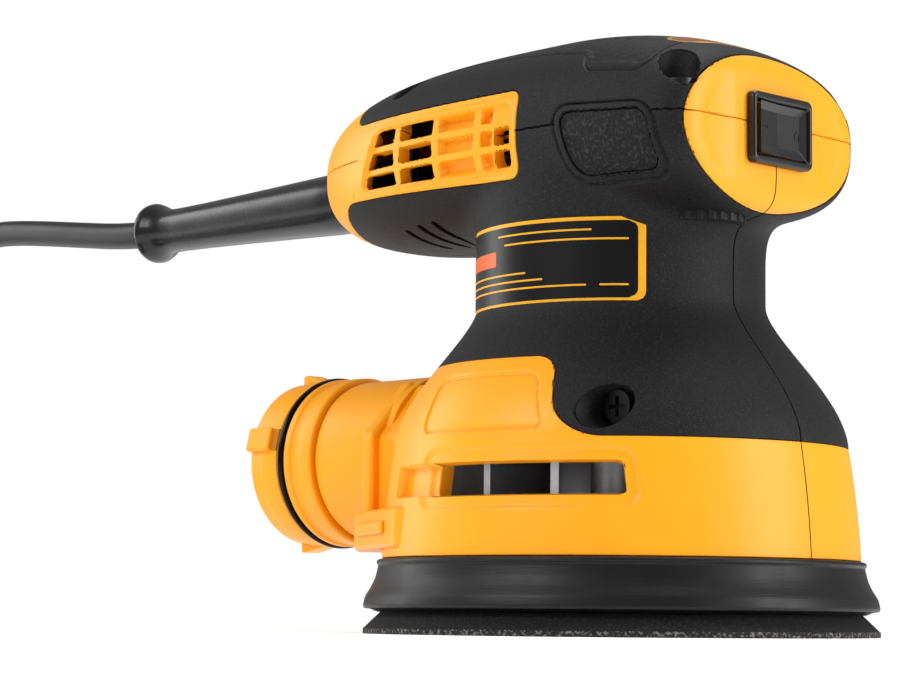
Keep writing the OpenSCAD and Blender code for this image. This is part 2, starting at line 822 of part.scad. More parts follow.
clip_x = -100;
clip_r = collar_r - 0.2;
wire_r = 0.8;
lock_x = [-103.6, -95.6];
module dust_collar() {
  color(yellow) difference() {
    union() {
      lathe_x(barrel_x - 0.3, mouth_x, collar_r, collar_r);
      translate([mouth_x - 3, -1, port_z]) rotate([14, 0, 0]) translate([0, -collar_r - 1, 0])
        cube([6, 4, 6]);
      translate([mouth_x + 1, -3, port_z + collar_r - 1]) cube([6, 6, 2.2]);
      translate([mouth_x + 1, -3, port_z - collar_r - 1.2]) cube([6, 6, 2.2]);
    }
    lathe_x(barrel_x + 2, spigot_x - 0.3, spigot_r + collar_fit, spigot_r + collar_fit);
    lathe_x(spigot_x, mouth_x - 20, mouth_r, mouth_r);
    translate([clip_x, 0, port_z]) rotate([0, 90, 0]) rotate_extrude($fn = 96)
      translate([clip_r - wire_r - 0.4, -wire_r - 0.3]) square([6, 2 * wire_r + 0.6]);
    translate([lock_x[0], -collar_r - 1, port_z + 1]) cube([5, 3, 5]);
  }
}

// Spring wire hoop that lies in the collar's groove.
module collar_clip() {
  color([0.15, 0.15, 0.16]) translate([clip_x, 0, port_z]) rotate([0, 90, 0]) rotate([0, 0, 80])
    rotate_extrude(angle = 322, $fn = 96) translate([clip_r, 0]) circle(wire_r, $fn = 20);
}

// ---------- cord set ----------

guard_z = 116;
guard_r = 8.3;
guard_x = -head_rear - guard_len;
module guard_cyl(x0, x1, r0, r1) {
  translate([x1, 0, guard_z]) rotate([0, 90, 0]) cylinder(r1 = r1, r2 = r0, h = x0 - x1, $fn = 64);
}

module cord_guard() {
  color(black) {
    guard_cyl(-head_rear + 21, -head_rear + 18, guard_r + 1.7, guard_r + 1.7);
    guard_cyl(-head_rear + 18 + eps, -head_rear, guard_r, guard_r);
    guard_cyl(-head_rear + eps, guard_x + 10, guard_r, 6.2);
    guard_cyl(guard_x + 10 + eps, guard_x + 3, 6.2, 8.5);
    guard_cyl(guard_x + 3 + eps, guard_x + 1.2, 8.5, 8.8);
    guard_cyl(guard_x + 1.2 + eps, guard_x, 8.8, 7.4);
  }
}

clamp_x = -head_rear + 27;
module cord_clamp() {
  color(black) difference() {
    translate([clamp_x - 4, -13, guard_z + 0.3]) cube([8, 26, 6.6]);
    translate([clamp_x - 10, 0, guard_z]) rotate([0, 90, 0])
      cylinder(r = cord_d / 2 + 0.05, h = 20, $fn = 48);
    for (s = [-1, 1]) translate([clamp_x, 9 * s, guard_z - 1]) cylinder(r = 1.7, h = 12, $fn = 24);
  }
}

module clamp_screws() {
  color(steel) for (s = [-1, 1]) translate([clamp_x, 9 * s, guard_z + 6.95])
    pan_screw(1.5, 11, 2.8, 1.8);
}

// Jacket end inside the casing and the two conductors that run on to the switch.
module supply_leads() {
  color("saddlebrown") {
    translate([-head_rear + 34, 0, guard_z]) rotate([0, -90, 0])
      cylinder(r = cord_d / 2, h = 12.9, $fn = 40);
    for (s = [-1, 1]) tube([[34.1 - head_rear, 1.8 * s, guard_z], [44 - head_rear, 5 * s, 119],
      [56 - head_rear, 11 * s, 125], [-28, 14 * s, 128], [8, 14 * s, 128], [17, 10 * s, 126],
      [23.4, 6 * s, 122]], 1.3, 8);
  }
}

// Route of the free lead: out of the guard, down to the bench and into the coil.
cord_route = [[-182, 0, 115], [-192, 0, 115.3], [-203, 0, 116.2], [-214, 0, 117.5],
  [-225, 0, 118.8], [-237, 0, 120.2], [-249, 0, 121.4], [-260, 0, 122], [-270, -1, 120.6],
  [-280, -3, 117], [-289, -7, 111], [-297, -12, 102.5], [-303, -17, 93], [-308, -22, 82],
  [-311, -26, 70.5], [-313, -29, 59], [-315, -32, 48], [-317, -36, 37], [-319, -41, 27],
  [-322, -48, 18], [-325, -57, 11], [-327, -66, 7]];
coil_at = [-273, -88];
coil_r = 46;
coil_w = 31;
coil_h = 15.4;

function tangent(p, i) = let (a = p[max(0, i - 1)], b = p[min(len(p) - 1, i + 1)]) (b - a) / norm(b - a);
function tube_ring(c, t, r, n) =
  let (s = cross(t, [0, 1, 0]), u = s / norm(s), v = cross(u, t))
  [for (k = [0:n - 1]) c + r * (u * cos(360 * k / n) + v * sin(360 * k / n))];
module tube(path, r, n) {
  points = [for (i = [0:len(path) - 1]) each tube_ring(path[i], tangent(path, i), r, n)];
  polyhedron(points, concat([[for (k = [n - 1:-1:0]) k]],
    [for (i = [0:len(path) - 2], k = [0:n - 1])
      [i * n + k, i * n + (k + 1) % n, (i + 1) * n + (k + 1) % n, (i + 1) * n + k]],
    [[for (k = [0:n - 1]) (len(path) - 1) * n + k]]));
}

module cord() {
  color(black) tube(cord_route, cord_d / 2, 10);
}

module cord_coil() {
  color(black) translate([coil_at.x, coil_at.y, coil_h / 2]) rotate_extrude($fn = 96)
    translate([coil_r, 0]) offset(r = 3.9) square([coil_w - 7.8, coil_h - 7.8], center = true);
}

// Two-blade plug lying beside the coil.
plug_x = coil_at.x + 19;
plug_y = coil_at.y - coil_r - 11.7;
plug_z = 9.5;
module plug() {
  color(black) translate([plug_x, plug_y, plug_z]) rotate([0, 90, 0]) {
    cylinder(r1 = 5, r2 = 6.4, h = 18 + eps, $fn = 48);
    translate([0, 0, 18]) cylinder(r1 = 6.4, r2 = 9.4, h = 8 + eps, $fn = 48);
    translate([-9.4, -10.5, 26]) cube([18.8, 21, 14]);
  }
}

module plug_blades() {
  color("gold") for (s = [-1, 1]) translate([plug_x + 40.02, plug_y + s * 6.35 - 0.75, plug_z - 3.2])
    cube([16.5, 1.5, 6.4]);
}

top_cover();
left_housing();
right_housing();
top_grip();
left_grip();
right_grip();
nameplate();
top_badge();
housing_screws();
cover_screws();
switch_body();
switch_rocker();
speed_dial();
speed_module();
field_core();
field_windings();
motor_shaft();
armature_core();
armature_windings();
commutator();
upper_bearing();
bearing_boot();
lower_bearing();
bearing_plate();
plate_screws();
brush_holders();
carbon_brushes();
brush_springs();
brush_leads();
fan();
counterweight();
eccentric_pin();
pad_bearing();
pad_hub();
bearing_clip();
backing_pad();
hook_face();
pad_screws();
brake_skirt();
dust_port();
dust_collar();
collar_clip();
cord_guard();
cord_clamp();
clamp_screws();
supply_leads();
cord();
cord_coil();
plug();
plug_blades();
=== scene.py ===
"""Looks of a palm-grip random orbit sander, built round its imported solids. Metres, row frame."""
import math
import bmesh
import bpy
import numpy as np
from mathutils import Matrix, Vector


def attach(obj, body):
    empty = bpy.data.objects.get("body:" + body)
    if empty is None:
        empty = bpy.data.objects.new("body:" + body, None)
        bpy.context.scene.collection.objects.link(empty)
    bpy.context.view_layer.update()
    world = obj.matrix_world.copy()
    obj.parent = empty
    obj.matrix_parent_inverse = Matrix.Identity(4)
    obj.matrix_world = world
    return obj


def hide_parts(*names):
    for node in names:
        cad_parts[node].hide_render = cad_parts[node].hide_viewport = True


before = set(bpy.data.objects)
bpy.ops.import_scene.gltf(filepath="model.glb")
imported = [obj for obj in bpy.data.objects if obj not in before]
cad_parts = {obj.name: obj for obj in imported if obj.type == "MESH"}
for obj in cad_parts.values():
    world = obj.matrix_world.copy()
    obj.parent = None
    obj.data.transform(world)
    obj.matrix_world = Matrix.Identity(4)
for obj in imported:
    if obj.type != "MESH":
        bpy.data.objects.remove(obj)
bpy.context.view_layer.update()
MM = 0.001


# ---- Camera, floor and light ----
# A long lens just above the bench looks slightly up at the tool. Large soft boxes light it from
# the front, both sides and above, over a white seamless floor in an evenly lit white room.

def metres(*mm):
    """A point given in millimetres, as metres."""
    return Vector(mm) * MM


def aim(azimuth, yaw, pitch, roll):
    """Camera rotation: turned round the tool by azimuth, then yawed, pitched and rolled."""
    a = math.radians(azimuth + yaw)
    p = math.radians(pitch)
    forward = Vector((-math.sin(a) * math.cos(p), math.cos(a) * math.cos(p), math.sin(p)))
    right = Vector((math.cos(a), math.sin(a), 0))
    up = right.cross(forward)
    r = math.radians(roll)
    right, up = right * math.cos(r) + up * math.sin(r), up * math.cos(r) - right * math.sin(r)
    return Matrix((right, up, -forward)).transposed().to_quaternion()


camera = bpy.data.objects.new("camera", bpy.data.cameras.new("camera"))
bpy.context.collection.objects.link(camera)
camera.data.lens = 106.56
camera.data.sensor_width = 36
camera.data.clip_end = 20
camera.location = metres(440.0, -502.6, 5.1)
camera.rotation_mode = "QUATERNION"
camera.rotation_quaternion = aim(41.2, 3.374, 5.71, 0.5)
bpy.context.scene.camera = camera


def to_linear(hex_colour):
    """sRGB hex, such as E8A317, as linear RGBA."""
    rgb = np.array([int(hex_colour[i:i + 2], 16) for i in (0, 2, 4)]) / 255
    linear = np.where(rgb <= 0.04045, rgb / 12.92, ((rgb + 0.055) / 1.055) ** 2.4)
    return (*linear, 1)


def node(tree, kind, sockets=None, **settings):
    """Adds a shader node, sets its properties, and sets or links its inputs."""
    made = tree.nodes.new(kind)
    for key, value in settings.items():
        setattr(made, key, value)
    for key, value in (sockets or {}).items():
        if isinstance(value, bpy.types.NodeSocket):
            tree.links.new(value, made.inputs[key])
        else:
            made.inputs[key].default_value = value
    return made


bpy.context.scene.view_settings.view_transform = "Standard"
world = bpy.data.worlds.new("studio")
world.use_nodes = True
bpy.context.scene.world = world
seen = node(world.node_tree, "ShaderNodeLightPath").outputs["Is Camera Ray"]
strength = node(world.node_tree, "ShaderNodeMapRange",
                {"Value": seen, "To Min": 0.34, "To Max": 1.0})
backdrop = world.node_tree.nodes["Background"]
backdrop.inputs["Color"].default_value = (1, 1, 1, 1)
world.node_tree.links.new(strength.outputs["Result"], backdrop.inputs["Strength"])


def soft_box(name, place, target, size, watts):
    """Rectangular area light at place, facing target. Size and places in metres."""
    lamp = bpy.data.lights.new(name, "AREA")
    lamp.shape = "RECTANGLE"
    lamp.size, lamp.size_y = size
    lamp.energy = watts
    obj = bpy.data.objects.new(name, lamp)
    bpy.context.collection.objects.link(obj)
    obj.location = place
    obj.rotation_mode = "QUATERNION"
    obj.rotation_quaternion = (Vector(target) - Vector(place)).to_track_quat("-Z", "Y")
    return obj


soft_box("key_light", (-0.15, -0.85, 0.65), (0, 0, 0.07), (0.45, 0.45), 5.0)
soft_box("left_light", (-0.8, -0.25, 0.3), (0, 0, 0.07), (0.3, 0.6), 2.4)
soft_box("right_light", (0.75, 0.35, 0.3), (0, 0, 0.07), (0.3, 0.6), 4.5)
soft_box("top_light", (0.05, 0.15, 0.9), (0, 0, 0.1), (0.5, 0.4), 4.5)


def solid_mesh(name, verts, faces, crease=None):
    """Mesh object from arrays of vertices in metres and faces of equal size, shaded smooth but
    for edges that turn by more than crease degrees."""
    verts, faces = np.asarray(verts, float), np.asarray(faces, int)
    mesh = bpy.data.meshes.new(name)
    count, sides = faces.shape
    mesh.vertices.add(len(verts))
    mesh.vertices.foreach_set("co", verts.ravel())
    mesh.loops.add(count * sides)
    mesh.loops.foreach_set("vertex_index", faces.ravel())
    mesh.polygons.add(count)
    mesh.polygons.foreach_set("loop_start", np.arange(count) * sides)
    mesh.polygons.foreach_set("use_smooth", np.full(count, True))
    mesh.update(calc_edges=True)
    if crease:
        mesh.set_sharp_from_angle(angle=math.radians(crease))
    obj = bpy.data.objects.new(name, mesh)
    bpy.context.collection.objects.link(obj)
    return obj


FLOOR_R, FLOOR_SIDES = 0.75, 64
round_edge = np.linspace(0, 2 * np.pi, FLOOR_SIDES, endpoint=False)
sheet = np.stack([FLOOR_R * np.cos(round_edge), FLOOR_R * np.sin(round_edge), 0 * round_edge], -1)
edge_index = np.arange(FLOOR_SIDES)
centre_fan = np.stack([np.full(FLOOR_SIDES, FLOOR_SIDES), edge_index,
                       (edge_index + 1) % FLOOR_SIDES], -1)
floor = solid_mesh("bench", np.concatenate([sheet, [(0, 0, 0)]]), centre_fan)
paper = bpy.data.materials.new("white_seamless_paper")
paper.use_nodes = True
for key, value in (("Base Color", to_linear("F4F4F4")), ("Roughness", 0.6),
                   ("Emission Color", (1, 1, 1, 1)), ("Emission Strength", 0.35)):
    paper.node_tree.nodes["Principled BSDF"].inputs[key].default_value = value
floor.data.materials.append(paper)


# ---- Mains lead ----
# Two-core lead in black thermoplastic rubber, extruded with a matt skin. It leaves the guard
# almost level, bends down outside the view and is wound into a flat coil on the bench.

LEAD = 7.8
ROUTE = np.array([
    (-182, 0, 115), (-192, 0, 115.3), (-203, 0, 116.2), (-214, 0, 117.5), (-225, 0, 118.8),
    (-237, 0, 120.2), (-249, 0, 121.4), (-260, 0, 122), (-270, -1, 120.6), (-280, -3, 117),
    (-289, -7, 111), (-297, -12, 102.5), (-303, -17, 93), (-308, -22, 82), (-311, -26, 70.5),
    (-313, -29, 59), (-315, -32, 48), (-317, -36, 37), (-319, -41, 27), (-322, -48, 18),
    (-325, -57, 11), (-327, -66, 7), (-328.3, -78, 4.6)])
COIL = np.array((-273.0, -88.0))
COIL_R, COIL_START, COIL_TURNS = 46, 185, 7 + 85 / 360


def new_material(name):
    """Empty principled material: itself, its node tree, its shader and the piece's coordinates."""
    material = bpy.data.materials.new(name)
    material.use_nodes = True
    tree = material.node_tree
    place = node(tree, "ShaderNodeTexCoord").outputs["Object"]
    return material, tree, tree.nodes["Principled BSDF"], place


def connect(tree, shader, **sources):
    """Links outputs to the shader's inputs, named with underscores for spaces."""
    for key, source in sources.items():
        tree.links.new(source, shader.inputs[key.replace("_", " ")])


def dress(piece, material, body):
    """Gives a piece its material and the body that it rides."""
    piece.data.materials.append(material)
    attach(piece, body)


def black_plastic(name, colour, pale, roughness, grain_mm, depth_mm, shine=0.25):
    """Black moulding: random grain in the bump, paler on its peaks, and faint wear in roughness.
    Colours are sRGB hex, grain_mm is the width of one grain and depth_mm its height."""
    material, tree, shader, place = new_material(name)
    grain = node(tree, "ShaderNodeTexNoise", {"Vector": place, "Scale": 1 / (grain_mm * MM),
                 "Detail": 2.0}).outputs["Fac"]
    wear = node(tree, "ShaderNodeTexNoise", {"Vector": place, "Scale": 1 / (9 * MM)}).outputs["Fac"]
    rough = node(tree, "ShaderNodeMapRange", {"Value": wear, "To Min": roughness - 0.05,
                 "To Max": roughness + 0.06})
    peak = node(tree, "ShaderNodeMapRange", {"Value": grain, "From Min": 0.5, "From Max": 0.75})
    tint = node(tree, "ShaderNodeMixRGB", {"Fac": peak.outputs["Result"],
                "Color1": to_linear(colour), "Color2": to_linear(pale)})
    bump = node(tree, "ShaderNodeBump", {"Height": grain, "Distance": depth_mm * MM})
    shader.inputs["Specular IOR Level"].default_value = shine
    connect(tree, shader, Base_Color=tint.outputs["Color"], Roughness=rough.outputs["Result"],
            Normal=bump.outputs["Normal"])
    return material


lead_rubber = black_plastic("thermoplastic_rubber_jacket", "0C0C0E", "161618", 0.42, 0.5, 0.03, 0.4)


def coil_points():
    """Neat flat coil: four rings inwards on the bench, then four back out on top of them.
    Each turn keeps its ring until its last part, where it steps over by one lead."""
    ring = np.array([1.5, 0.5, -0.5, -1.5, -1.5, -0.5, 0.5, 1.5, 1.5])
    level = np.array([0, 0, 0, 0, 1, 1, 1, 1, 1])
    turn = np.linspace(0, COIL_TURNS, 240)
    whole = np.floor(turn).astype(int)
    step = np.clip((turn - whole - 0.6) / 0.4, 0, 1)
    step = step * step * (3 - 2 * step)
    radius = COIL_R + LEAD * (ring[whole] * (1 - step) + ring[whole + 1] * step)
    height = LEAD * (0.5 + level[whole] * (1 - step) + level[whole + 1] * step)
    angle = math.radians(COIL_START) + 2 * np.pi * turn
    x, y = COIL[0] + radius * np.cos(angle), COIL[1] + radius * np.sin(angle)
    return np.stack([x, y, height], -1)


TAIL = np.array([(-267, -145.7, 11.2), (-261, -145.7, 10.2), (-254, -145.7, 9.5),
                 (-250, -145.7, 9.5)])
lead_line = np.concatenate([ROUTE, coil_points(), TAIL]) * MM
lead_curve = bpy.data.curves.new("cord_lead", "CURVE")
lead_curve.dimensions = "3D"
lead_curve.bevel_depth = LEAD / 2 * MM
lead_curve.bevel_resolution = 5
lead_curve.resolution_u = 3
lead_curve.render_resolution_u = 3
spline = lead_curve.splines.new("NURBS")
spline.points.add(len(lead_line) - 1)
spline.points.foreach_set("co", np.c_[lead_line, np.ones(len(lead_line))].ravel())
spline.order_u = 3
spline.use_endpoint_u = True
lead = bpy.data.objects.new("cord_lead", lead_curve)
bpy.context.collection.objects.link(lead)
dress(lead, lead_rubber, "casing")
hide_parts("cord", "cord_coil")


# ---- Casing ----
# Glass-filled nylon shells, injection moulded: satin yellow where bare, and black rubber moulded
# over them for the grip. One skin is worked out for the whole tool and cut into its pieces.

SHROUD_Z, SHOULDER_Z, NECK_Z = 18.1, 45.0, 79.5
SHROUD_R, SHOULDER_R, NECK_R = 58.1, 55.2, 35.3
HEAD_Z, FRONT, REAR = 118.7, 48.3, 96.0
HALF, CROWN, CHIN = 37.0, 26.9, 21.3
SEAM_Z = 119.5
POWER = 2.4
HALVINGS = 34


def body_radius(z):
    """Drafted shroud with a slight swell, then an S-shaped bell, then a straight neck."""
    draft = np.clip((z - SHROUD_Z) / (SHOULDER_Z - SHROUD_Z), 0, 1)
    bell = np.clip((z - SHOULDER_Z) / (NECK_Z - SHOULDER_Z), 0, 1)
    shroud = SHROUD_R + (SHOULDER_R - SHROUD_R) * draft + 1.6 * draft * (1 - draft)
    curve = NECK_R + (SHOULDER_R - NECK_R) * (1 - bell ** 1.75) ** 1.55
    return np.where(z < SHOULDER_Z, shroud, curve)


def head_sections(x):
    """Half width, crown height and chin depth of the head's superellipse section at x."""
    ahead = np.clip(1 - np.clip(x / FRONT, 0, 1) ** 8, 0, 1) ** (1 / 8)
    back = np.clip(-x / REAR, 0, 1)
    width = HALF * np.where(x > 0, ahead, np.clip(1 - back ** 3, 0, 1) ** 0.5)
    rise = (1 - 0.05 * back) * np.clip(1 - back ** 3.2, 0, 1) ** (1 / 2.2)
    crown = np.where(x > 0, (CROWN - 0.0038 * x * x) * ahead, CROWN * rise)
    chin = CHIN * np.where(x > 0, ahead, np.clip(1 - back ** 6, 0, 1) ** 0.5)
    return width, crown, chin


def head_reach(azimuth, lift):
    """Distance from the head's centre to its skin along a direction, found by halving."""
    cx = np.cos(lift) * np.cos(azimuth)
    cy = np.cos(lift) * np.sin(azimuth)
    cz = np.sin(lift) + 0 * azimuth
    low, high = np.zeros_like(cx * cz), np.full_like(cx * cz, REAR + 20)
    for _ in range(HALVINGS):
        mid = (low + high) / 2
        x, y, z = cx * mid, cy * mid, cz * mid
        width, crown, chin = (np.maximum(s, 1e-6) for s in head_sections(x))
        out = ((np.abs(y) / width) ** POWER
               + (np.abs(z) / np.where(z > 0, crown, chin)) ** POWER > 1)
        out |= (x > FRONT - 1e-3) | (x < 1e-3 - REAR)
        low, high = np.where(out, low, mid), np.where(out, mid, high)
    return (low + high) / 2


def skin_grid(columns=480, body_rows=64, neck_rows=22, head_rows=150):
    """Grid of the whole skin, rows from the shroud's edge to the crown: the round body up to
    where the head's underside meets the neck, then the head's rays, evenly spaced along it."""
    azimuth = np.arange(columns) / columns * 2 * np.pi
    low, high = np.full(columns, -1.5), np.zeros(columns)
    for _ in range(HALVINGS):
        mid = (low + high) / 2
        wide = head_reach(azimuth, mid) * np.cos(mid) > NECK_R
        low, high = np.where(wide, low, mid), np.where(wide, mid, high)
    meet = (low + high) / 2
    fine = meet + (np.pi / 2 - meet) * np.linspace(0, 1, 700)[:, None]
    reach = head_reach(azimuth[None, :], fine)
    r, z = reach * np.cos(fine), HEAD_Z + reach * np.sin(fine)
    along = np.cumsum(np.hypot(np.diff(r, axis=0), np.diff(z, axis=0)), axis=0)
    along = np.concatenate([np.zeros((1, columns)), along]) / along[-1]
    want = np.linspace(0, 1, head_rows + 1)
    head_r = np.stack([np.interp(want, along[:, k], r[:, k]) for k in range(columns)], 1)
    head_z = np.stack([np.interp(want, along[:, k], z[:, k]) for k in range(columns)], 1)
    body_z = np.linspace(SHROUD_Z, 76, body_rows)[:, None] + np.zeros(columns)
    neck_z = 76 + (head_z[0] - 76) * np.linspace(0, 1, neck_rows + 1)[1:-1, None]
    z = np.concatenate([body_z, neck_z, head_z])
    r = np.concatenate([body_radius(body_z), body_radius(neck_z), head_r])
    corner = body_rows + neck_rows - 1
    weight = np.exp(-((np.arange(len(z)) - corner) / 9.0) ** 2)[:, None]
    for _ in range(60):
        for part in (r, z):
            part[1:-1] += 0.5 * weight[1:-1] * ((part[2:] + part[:-2]) / 2 - part[1:-1])
    return np.stack([r * np.cos(azimuth), r * np.sin(azimuth), z], -1)


def grid_normals(points):
    """Outward normals of a grid closed round its columns, from central differences."""
    across = np.roll(points, -1, 1) - np.roll(points, 1, 1)
    up = np.gradient(points, axis=0)
    normal = np.cross(across, up)
    length = np.linalg.norm(normal, axis=-1, keepdims=True)
    normal = np.where(length > 1e-9, normal / np.maximum(length, 1e-9), (0, 0, 1))
    normal[-1] = (0, 0, 1)
    return normal


def triangles(rows, columns):
    """Triangle list of a grid closed round its columns."""
    i, j = np.arange(rows - 1)[:, None], np.arange(columns)[None, :]
    j2 = (j + 1) % columns
    a, b = i * columns + j, i * columns + j2
    c, d = a + columns, b + columns
    return np.concatenate([np.stack([a, b, d], -1).reshape(-1, 3),
                           np.stack([a, d, c], -1).reshape(-1, 3)])


def split(skin, value):
    """Cuts a triangle skin (points, normals, faces) along value = 0, keeping both sides.
    Every crossed edge gets one new vertex, where value falls to nought."""
    points, normals, faces = skin
    v = value(points)
    v = np.where(np.abs(v) < 1e-4, 1e-4, v)
    side = v > 0
    mixed = side[faces].any(1) & ~side[faces].all(1)
    keep, cut = faces[~mixed], faces[mixed]
    if not len(cut):
        return skin
    lone = np.where(side[cut].sum(1) == 1, np.argmax(side[cut], 1), np.argmin(side[cut], 1))
    k = np.arange(len(cut))
    a, b, c = cut[k, lone], cut[k, (lone + 1) % 3], cut[k, (lone + 2) % 3]
    edges = np.sort(np.concatenate([np.stack([a, b], 1), np.stack([a, c], 1)]), 1)
    unique, back = np.unique(edges, axis=0, return_inverse=True)
    back = back.ravel()
    t = v[unique[:, 0]] / (v[unique[:, 0]] - v[unique[:, 1]])
    new = points[unique[:, 0]] + t[:, None] * (points[unique[:, 1]] - points[unique[:, 0]])
    turn = normals[unique[:, 0]] + t[:, None] * (normals[unique[:, 1]] - normals[unique[:, 0]])
    turn /= np.linalg.norm(turn, axis=1, keepdims=True)
    ab = len(points) + back[:len(cut)]
    ac = len(points) + back[len(cut):]
    faces = np.concatenate([keep, np.stack([a, ab, ac], 1), np.stack([ab, b, c], 1),
                            np.stack([ab, c, ac], 1)])
    return np.concatenate([points, new]), np.concatenate([normals, turn]), faces


def shell_piece(name, skin, inside, sink=0.0, wall=3.4, edge=0.25, gap=0.06, tight=None):
    """One moulding: the skin's faces where inside is true, sunk by sink, with a rounded edge
    and a wall turned in along every border. inside is an array with one value per face, and
    where tight(points) is true the border has neither gap nor rounding."""
    points, normals, faces = skin
    faces = faces[inside]
    used, faces = np.unique(faces, return_inverse=True)
    faces = faces.reshape(-1, 3)
    points, normals = points[used].copy(), normals[used].copy()
    points -= normals * sink
    loops = np.concatenate([faces[:, [0, 1]], faces[:, [1, 2]], faces[:, [2, 0]]])
    key = np.sort(loops, 1)
    order = key[:, 0].astype(np.int64) * len(points) + key[:, 1]
    first, count = np.unique(order, return_index=True, return_counts=True)[1:]
    rim = loops[first[count == 1]]
    across = np.cross(normals[rim[:, 0]], points[rim[:, 1]] - points[rim[:, 0]])
    inward = np.zeros_like(points)
    np.add.at(inward, rim[:, 0], across)
    np.add.at(inward, rim[:, 1], across)
    edge_verts = np.unique(rim)
    length = np.linalg.norm(inward[edge_verts], axis=1, keepdims=True)
    inward[edge_verts] /= np.maximum(length, 1e-9)
    base, n, lateral = points[edge_verts], normals[edge_verts], inward[edge_verts]
    if tight:
        ease = np.where(tight(base), 0.02, 1.0)[:, None]
        gap, edge = gap * ease, edge * ease
    place = np.full(len(points), -1)
    place[edge_verts] = np.arange(len(edge_verts))
    points[edge_verts] = base + lateral * (gap + edge)
    half = (n - lateral) / math.sqrt(2)
    rings = [(base + lateral * (gap + edge * 0.3) - n * edge * 0.3, half),
             (base + lateral * gap - n * edge, -lateral),
             (base + lateral * gap - n * wall, -lateral)]
    all_points, all_normals, all_faces = [points], [normals], [faces]
    last = rim
    start = len(points)
    for ring, turned in rings:
        here = start + place[rim]
        all_points.append(ring)
        all_normals.append(turned)
        all_faces.append(np.stack([last[:, 1], last[:, 0], here[:, 0]], 1))
        all_faces.append(np.stack([last[:, 1], here[:, 0], here[:, 1]], 1))
        last = here
        start += len(edge_verts)
    obj = solid_mesh(name, np.concatenate(all_points) * MM, np.concatenate(all_faces))
    obj.data.normals_split_custom_set_from_vertices(np.concatenate(all_normals).tolist())
    return obj


def round_join(a, b, radius):
    """Union of two regions whose insides are negative, with the inner corner rounded."""
    u, v = np.maximum(radius - a, 0), np.maximum(radius - b, 0)
    return np.maximum(radius, np.minimum(a, b)) - np.hypot(u, v)


def round_meet(a, b, radius):
    """Overlap of two regions whose insides are negative, with the outer corner rounded."""
    u, v = np.maximum(radius + a, 0), np.maximum(radius + b, 0)
    return np.minimum(-radius, np.maximum(a, b)) + np.hypot(u, v)


def box_field(u, v, low, high, radius):
    """Signed distance to a rectangle with rounded corners, negative inside."""
    cu, cv = (low[0] + high[0]) / 2, (low[1] + high[1]) / 2
    du = np.abs(u - cu) - (high[0] - low[0]) / 2 + radius
    dv = np.abs(v - cv) - (high[1] - low[1]) / 2 + radius
    outer = np.hypot(np.maximum(du, 0), np.maximum(dv, 0))
    return outer + np.minimum(np.maximum(du, dv), 0) - radius


def shroud_field(p):
    """Bare shroud: all below the shoulder, and a raised tongue from its side round the rear."""
    x, z = p[:, 0], p[:, 2]
    flank = 0.934 * (x - 22.6) + 0.356 * (z - 50.5)
    tongue = round_meet(flank, z - 64.4, 4.5)
    return round_join(z - 45.1, tongue, 8.0)


def cap_field(p):
    """Bare front cap: an upright plane through the head, inside a flattened oval."""
    oval = np.hypot(p[:, 1] / 31.6, (p[:, 2] - 117.8) / 18.6) - 1
    return np.maximum(oval * 19, 38 - p[:, 0])


def vent_field(p):
    """Bare vent frame: a bar along the side that widens into the whole rear of the head."""
    x, z = p[:, 0], p[:, 2]
    top = z - (129.4 + 0.014 * (x + 28))
    bottom = (108.6 - 0.02 * (x + 28)) - z
    frame_bar = round_meet(round_meet(top, bottom, 3.0), x + 1.2, 3.0)
    nose = round_meet((x + 58) * 0.94 + (z - 108) * 0.34, (x + 58) * 0.8 - (z - 128) * 0.6, 3.0)
    return round_join(frame_bar, nose, 4.0)


def bare_field(p):
    """All areas without rubber."""
    return np.minimum(np.minimum(shroud_field(p), cap_field(p)), vent_field(p))


def grille_field(p):
    """Sunk area inside the vent frame, its rear edge leaning back towards the nose."""
    x, z = p[:, 0], p[:, 2]
    upright = round_meet(z - (126.8 + 0.01 * (x + 28)), (110.6 - 0.015 * (x + 28)) - z, 2.5)
    ends = np.maximum(x + 3.2, -0.9 * (x + 60.6) + 0.43 * (z - 112))
    return round_meet(upright, ends, 2.5)


GRILLE_ROWS = ((111.3, 115.2), (116.8, 120.8), (122.4, 126.2))


def grille_slots(p, spans):
    """Openings of the grille in the given spans of x, crossed with every row."""
    x, z = p[:, 0], p[:, 2]
    rise = 0.01 * (x + 28)
    boxes = [box_field(x, z - rise, (low, bottom), (high, top), 0.7)
             for low, high in spans for bottom, top in GRILLE_ROWS]
    return np.maximum(np.min(boxes, axis=0), grille_field(p) + 0.8)


WINDOW_Z = (32.0, 39.6)


def window_field(p):
    """Exhaust window, as arc length and height on the shroud, with its front edge leaning."""
    side = np.degrees(np.arctan2(np.abs(p[:, 1]), p[:, 0]))
    z = p[:, 2]
    front = 0.98 * (48.2 + 0.12 * (z - 39.5) - side)
    height = round_meet(z - WINDOW_Z[1], WINDOW_Z[0] - z, 1.2)
    return round_meet(height, np.maximum(front, side - 101), 1.2)


def jamb_field(p):
    """Sunk jamb behind the window, which leads the air out along the side."""
    side = np.degrees(np.arctan2(np.abs(p[:, 1]), p[:, 0]))
    height = np.maximum(p[:, 2] - WINDOW_Z[1], WINDOW_Z[0] - p[:, 2])
    return round_meet(height, np.maximum(side - 118, 100 - side), 0.8)


def pad_field(p):
    """Grip pad on each side of the head: four slanted edges with round corners."""
    x, z = p[:, 0], p[:, 2]
    top = z - (123.7 - 0.075 * (x - 12))
    bottom = (105.4 - 0.02 * (x - 12)) - z
    front = 0.99 * (x - 40.4) + 0.1 * (z - 118)
    rear = -0.97 * (x - 11.2) - 0.25 * (z - 120)
    shape = round_meet(round_meet(top, bottom, 5), round_meet(front, rear, 5), 5)
    return np.maximum(shape, 20 - np.abs(p[:, 1]))


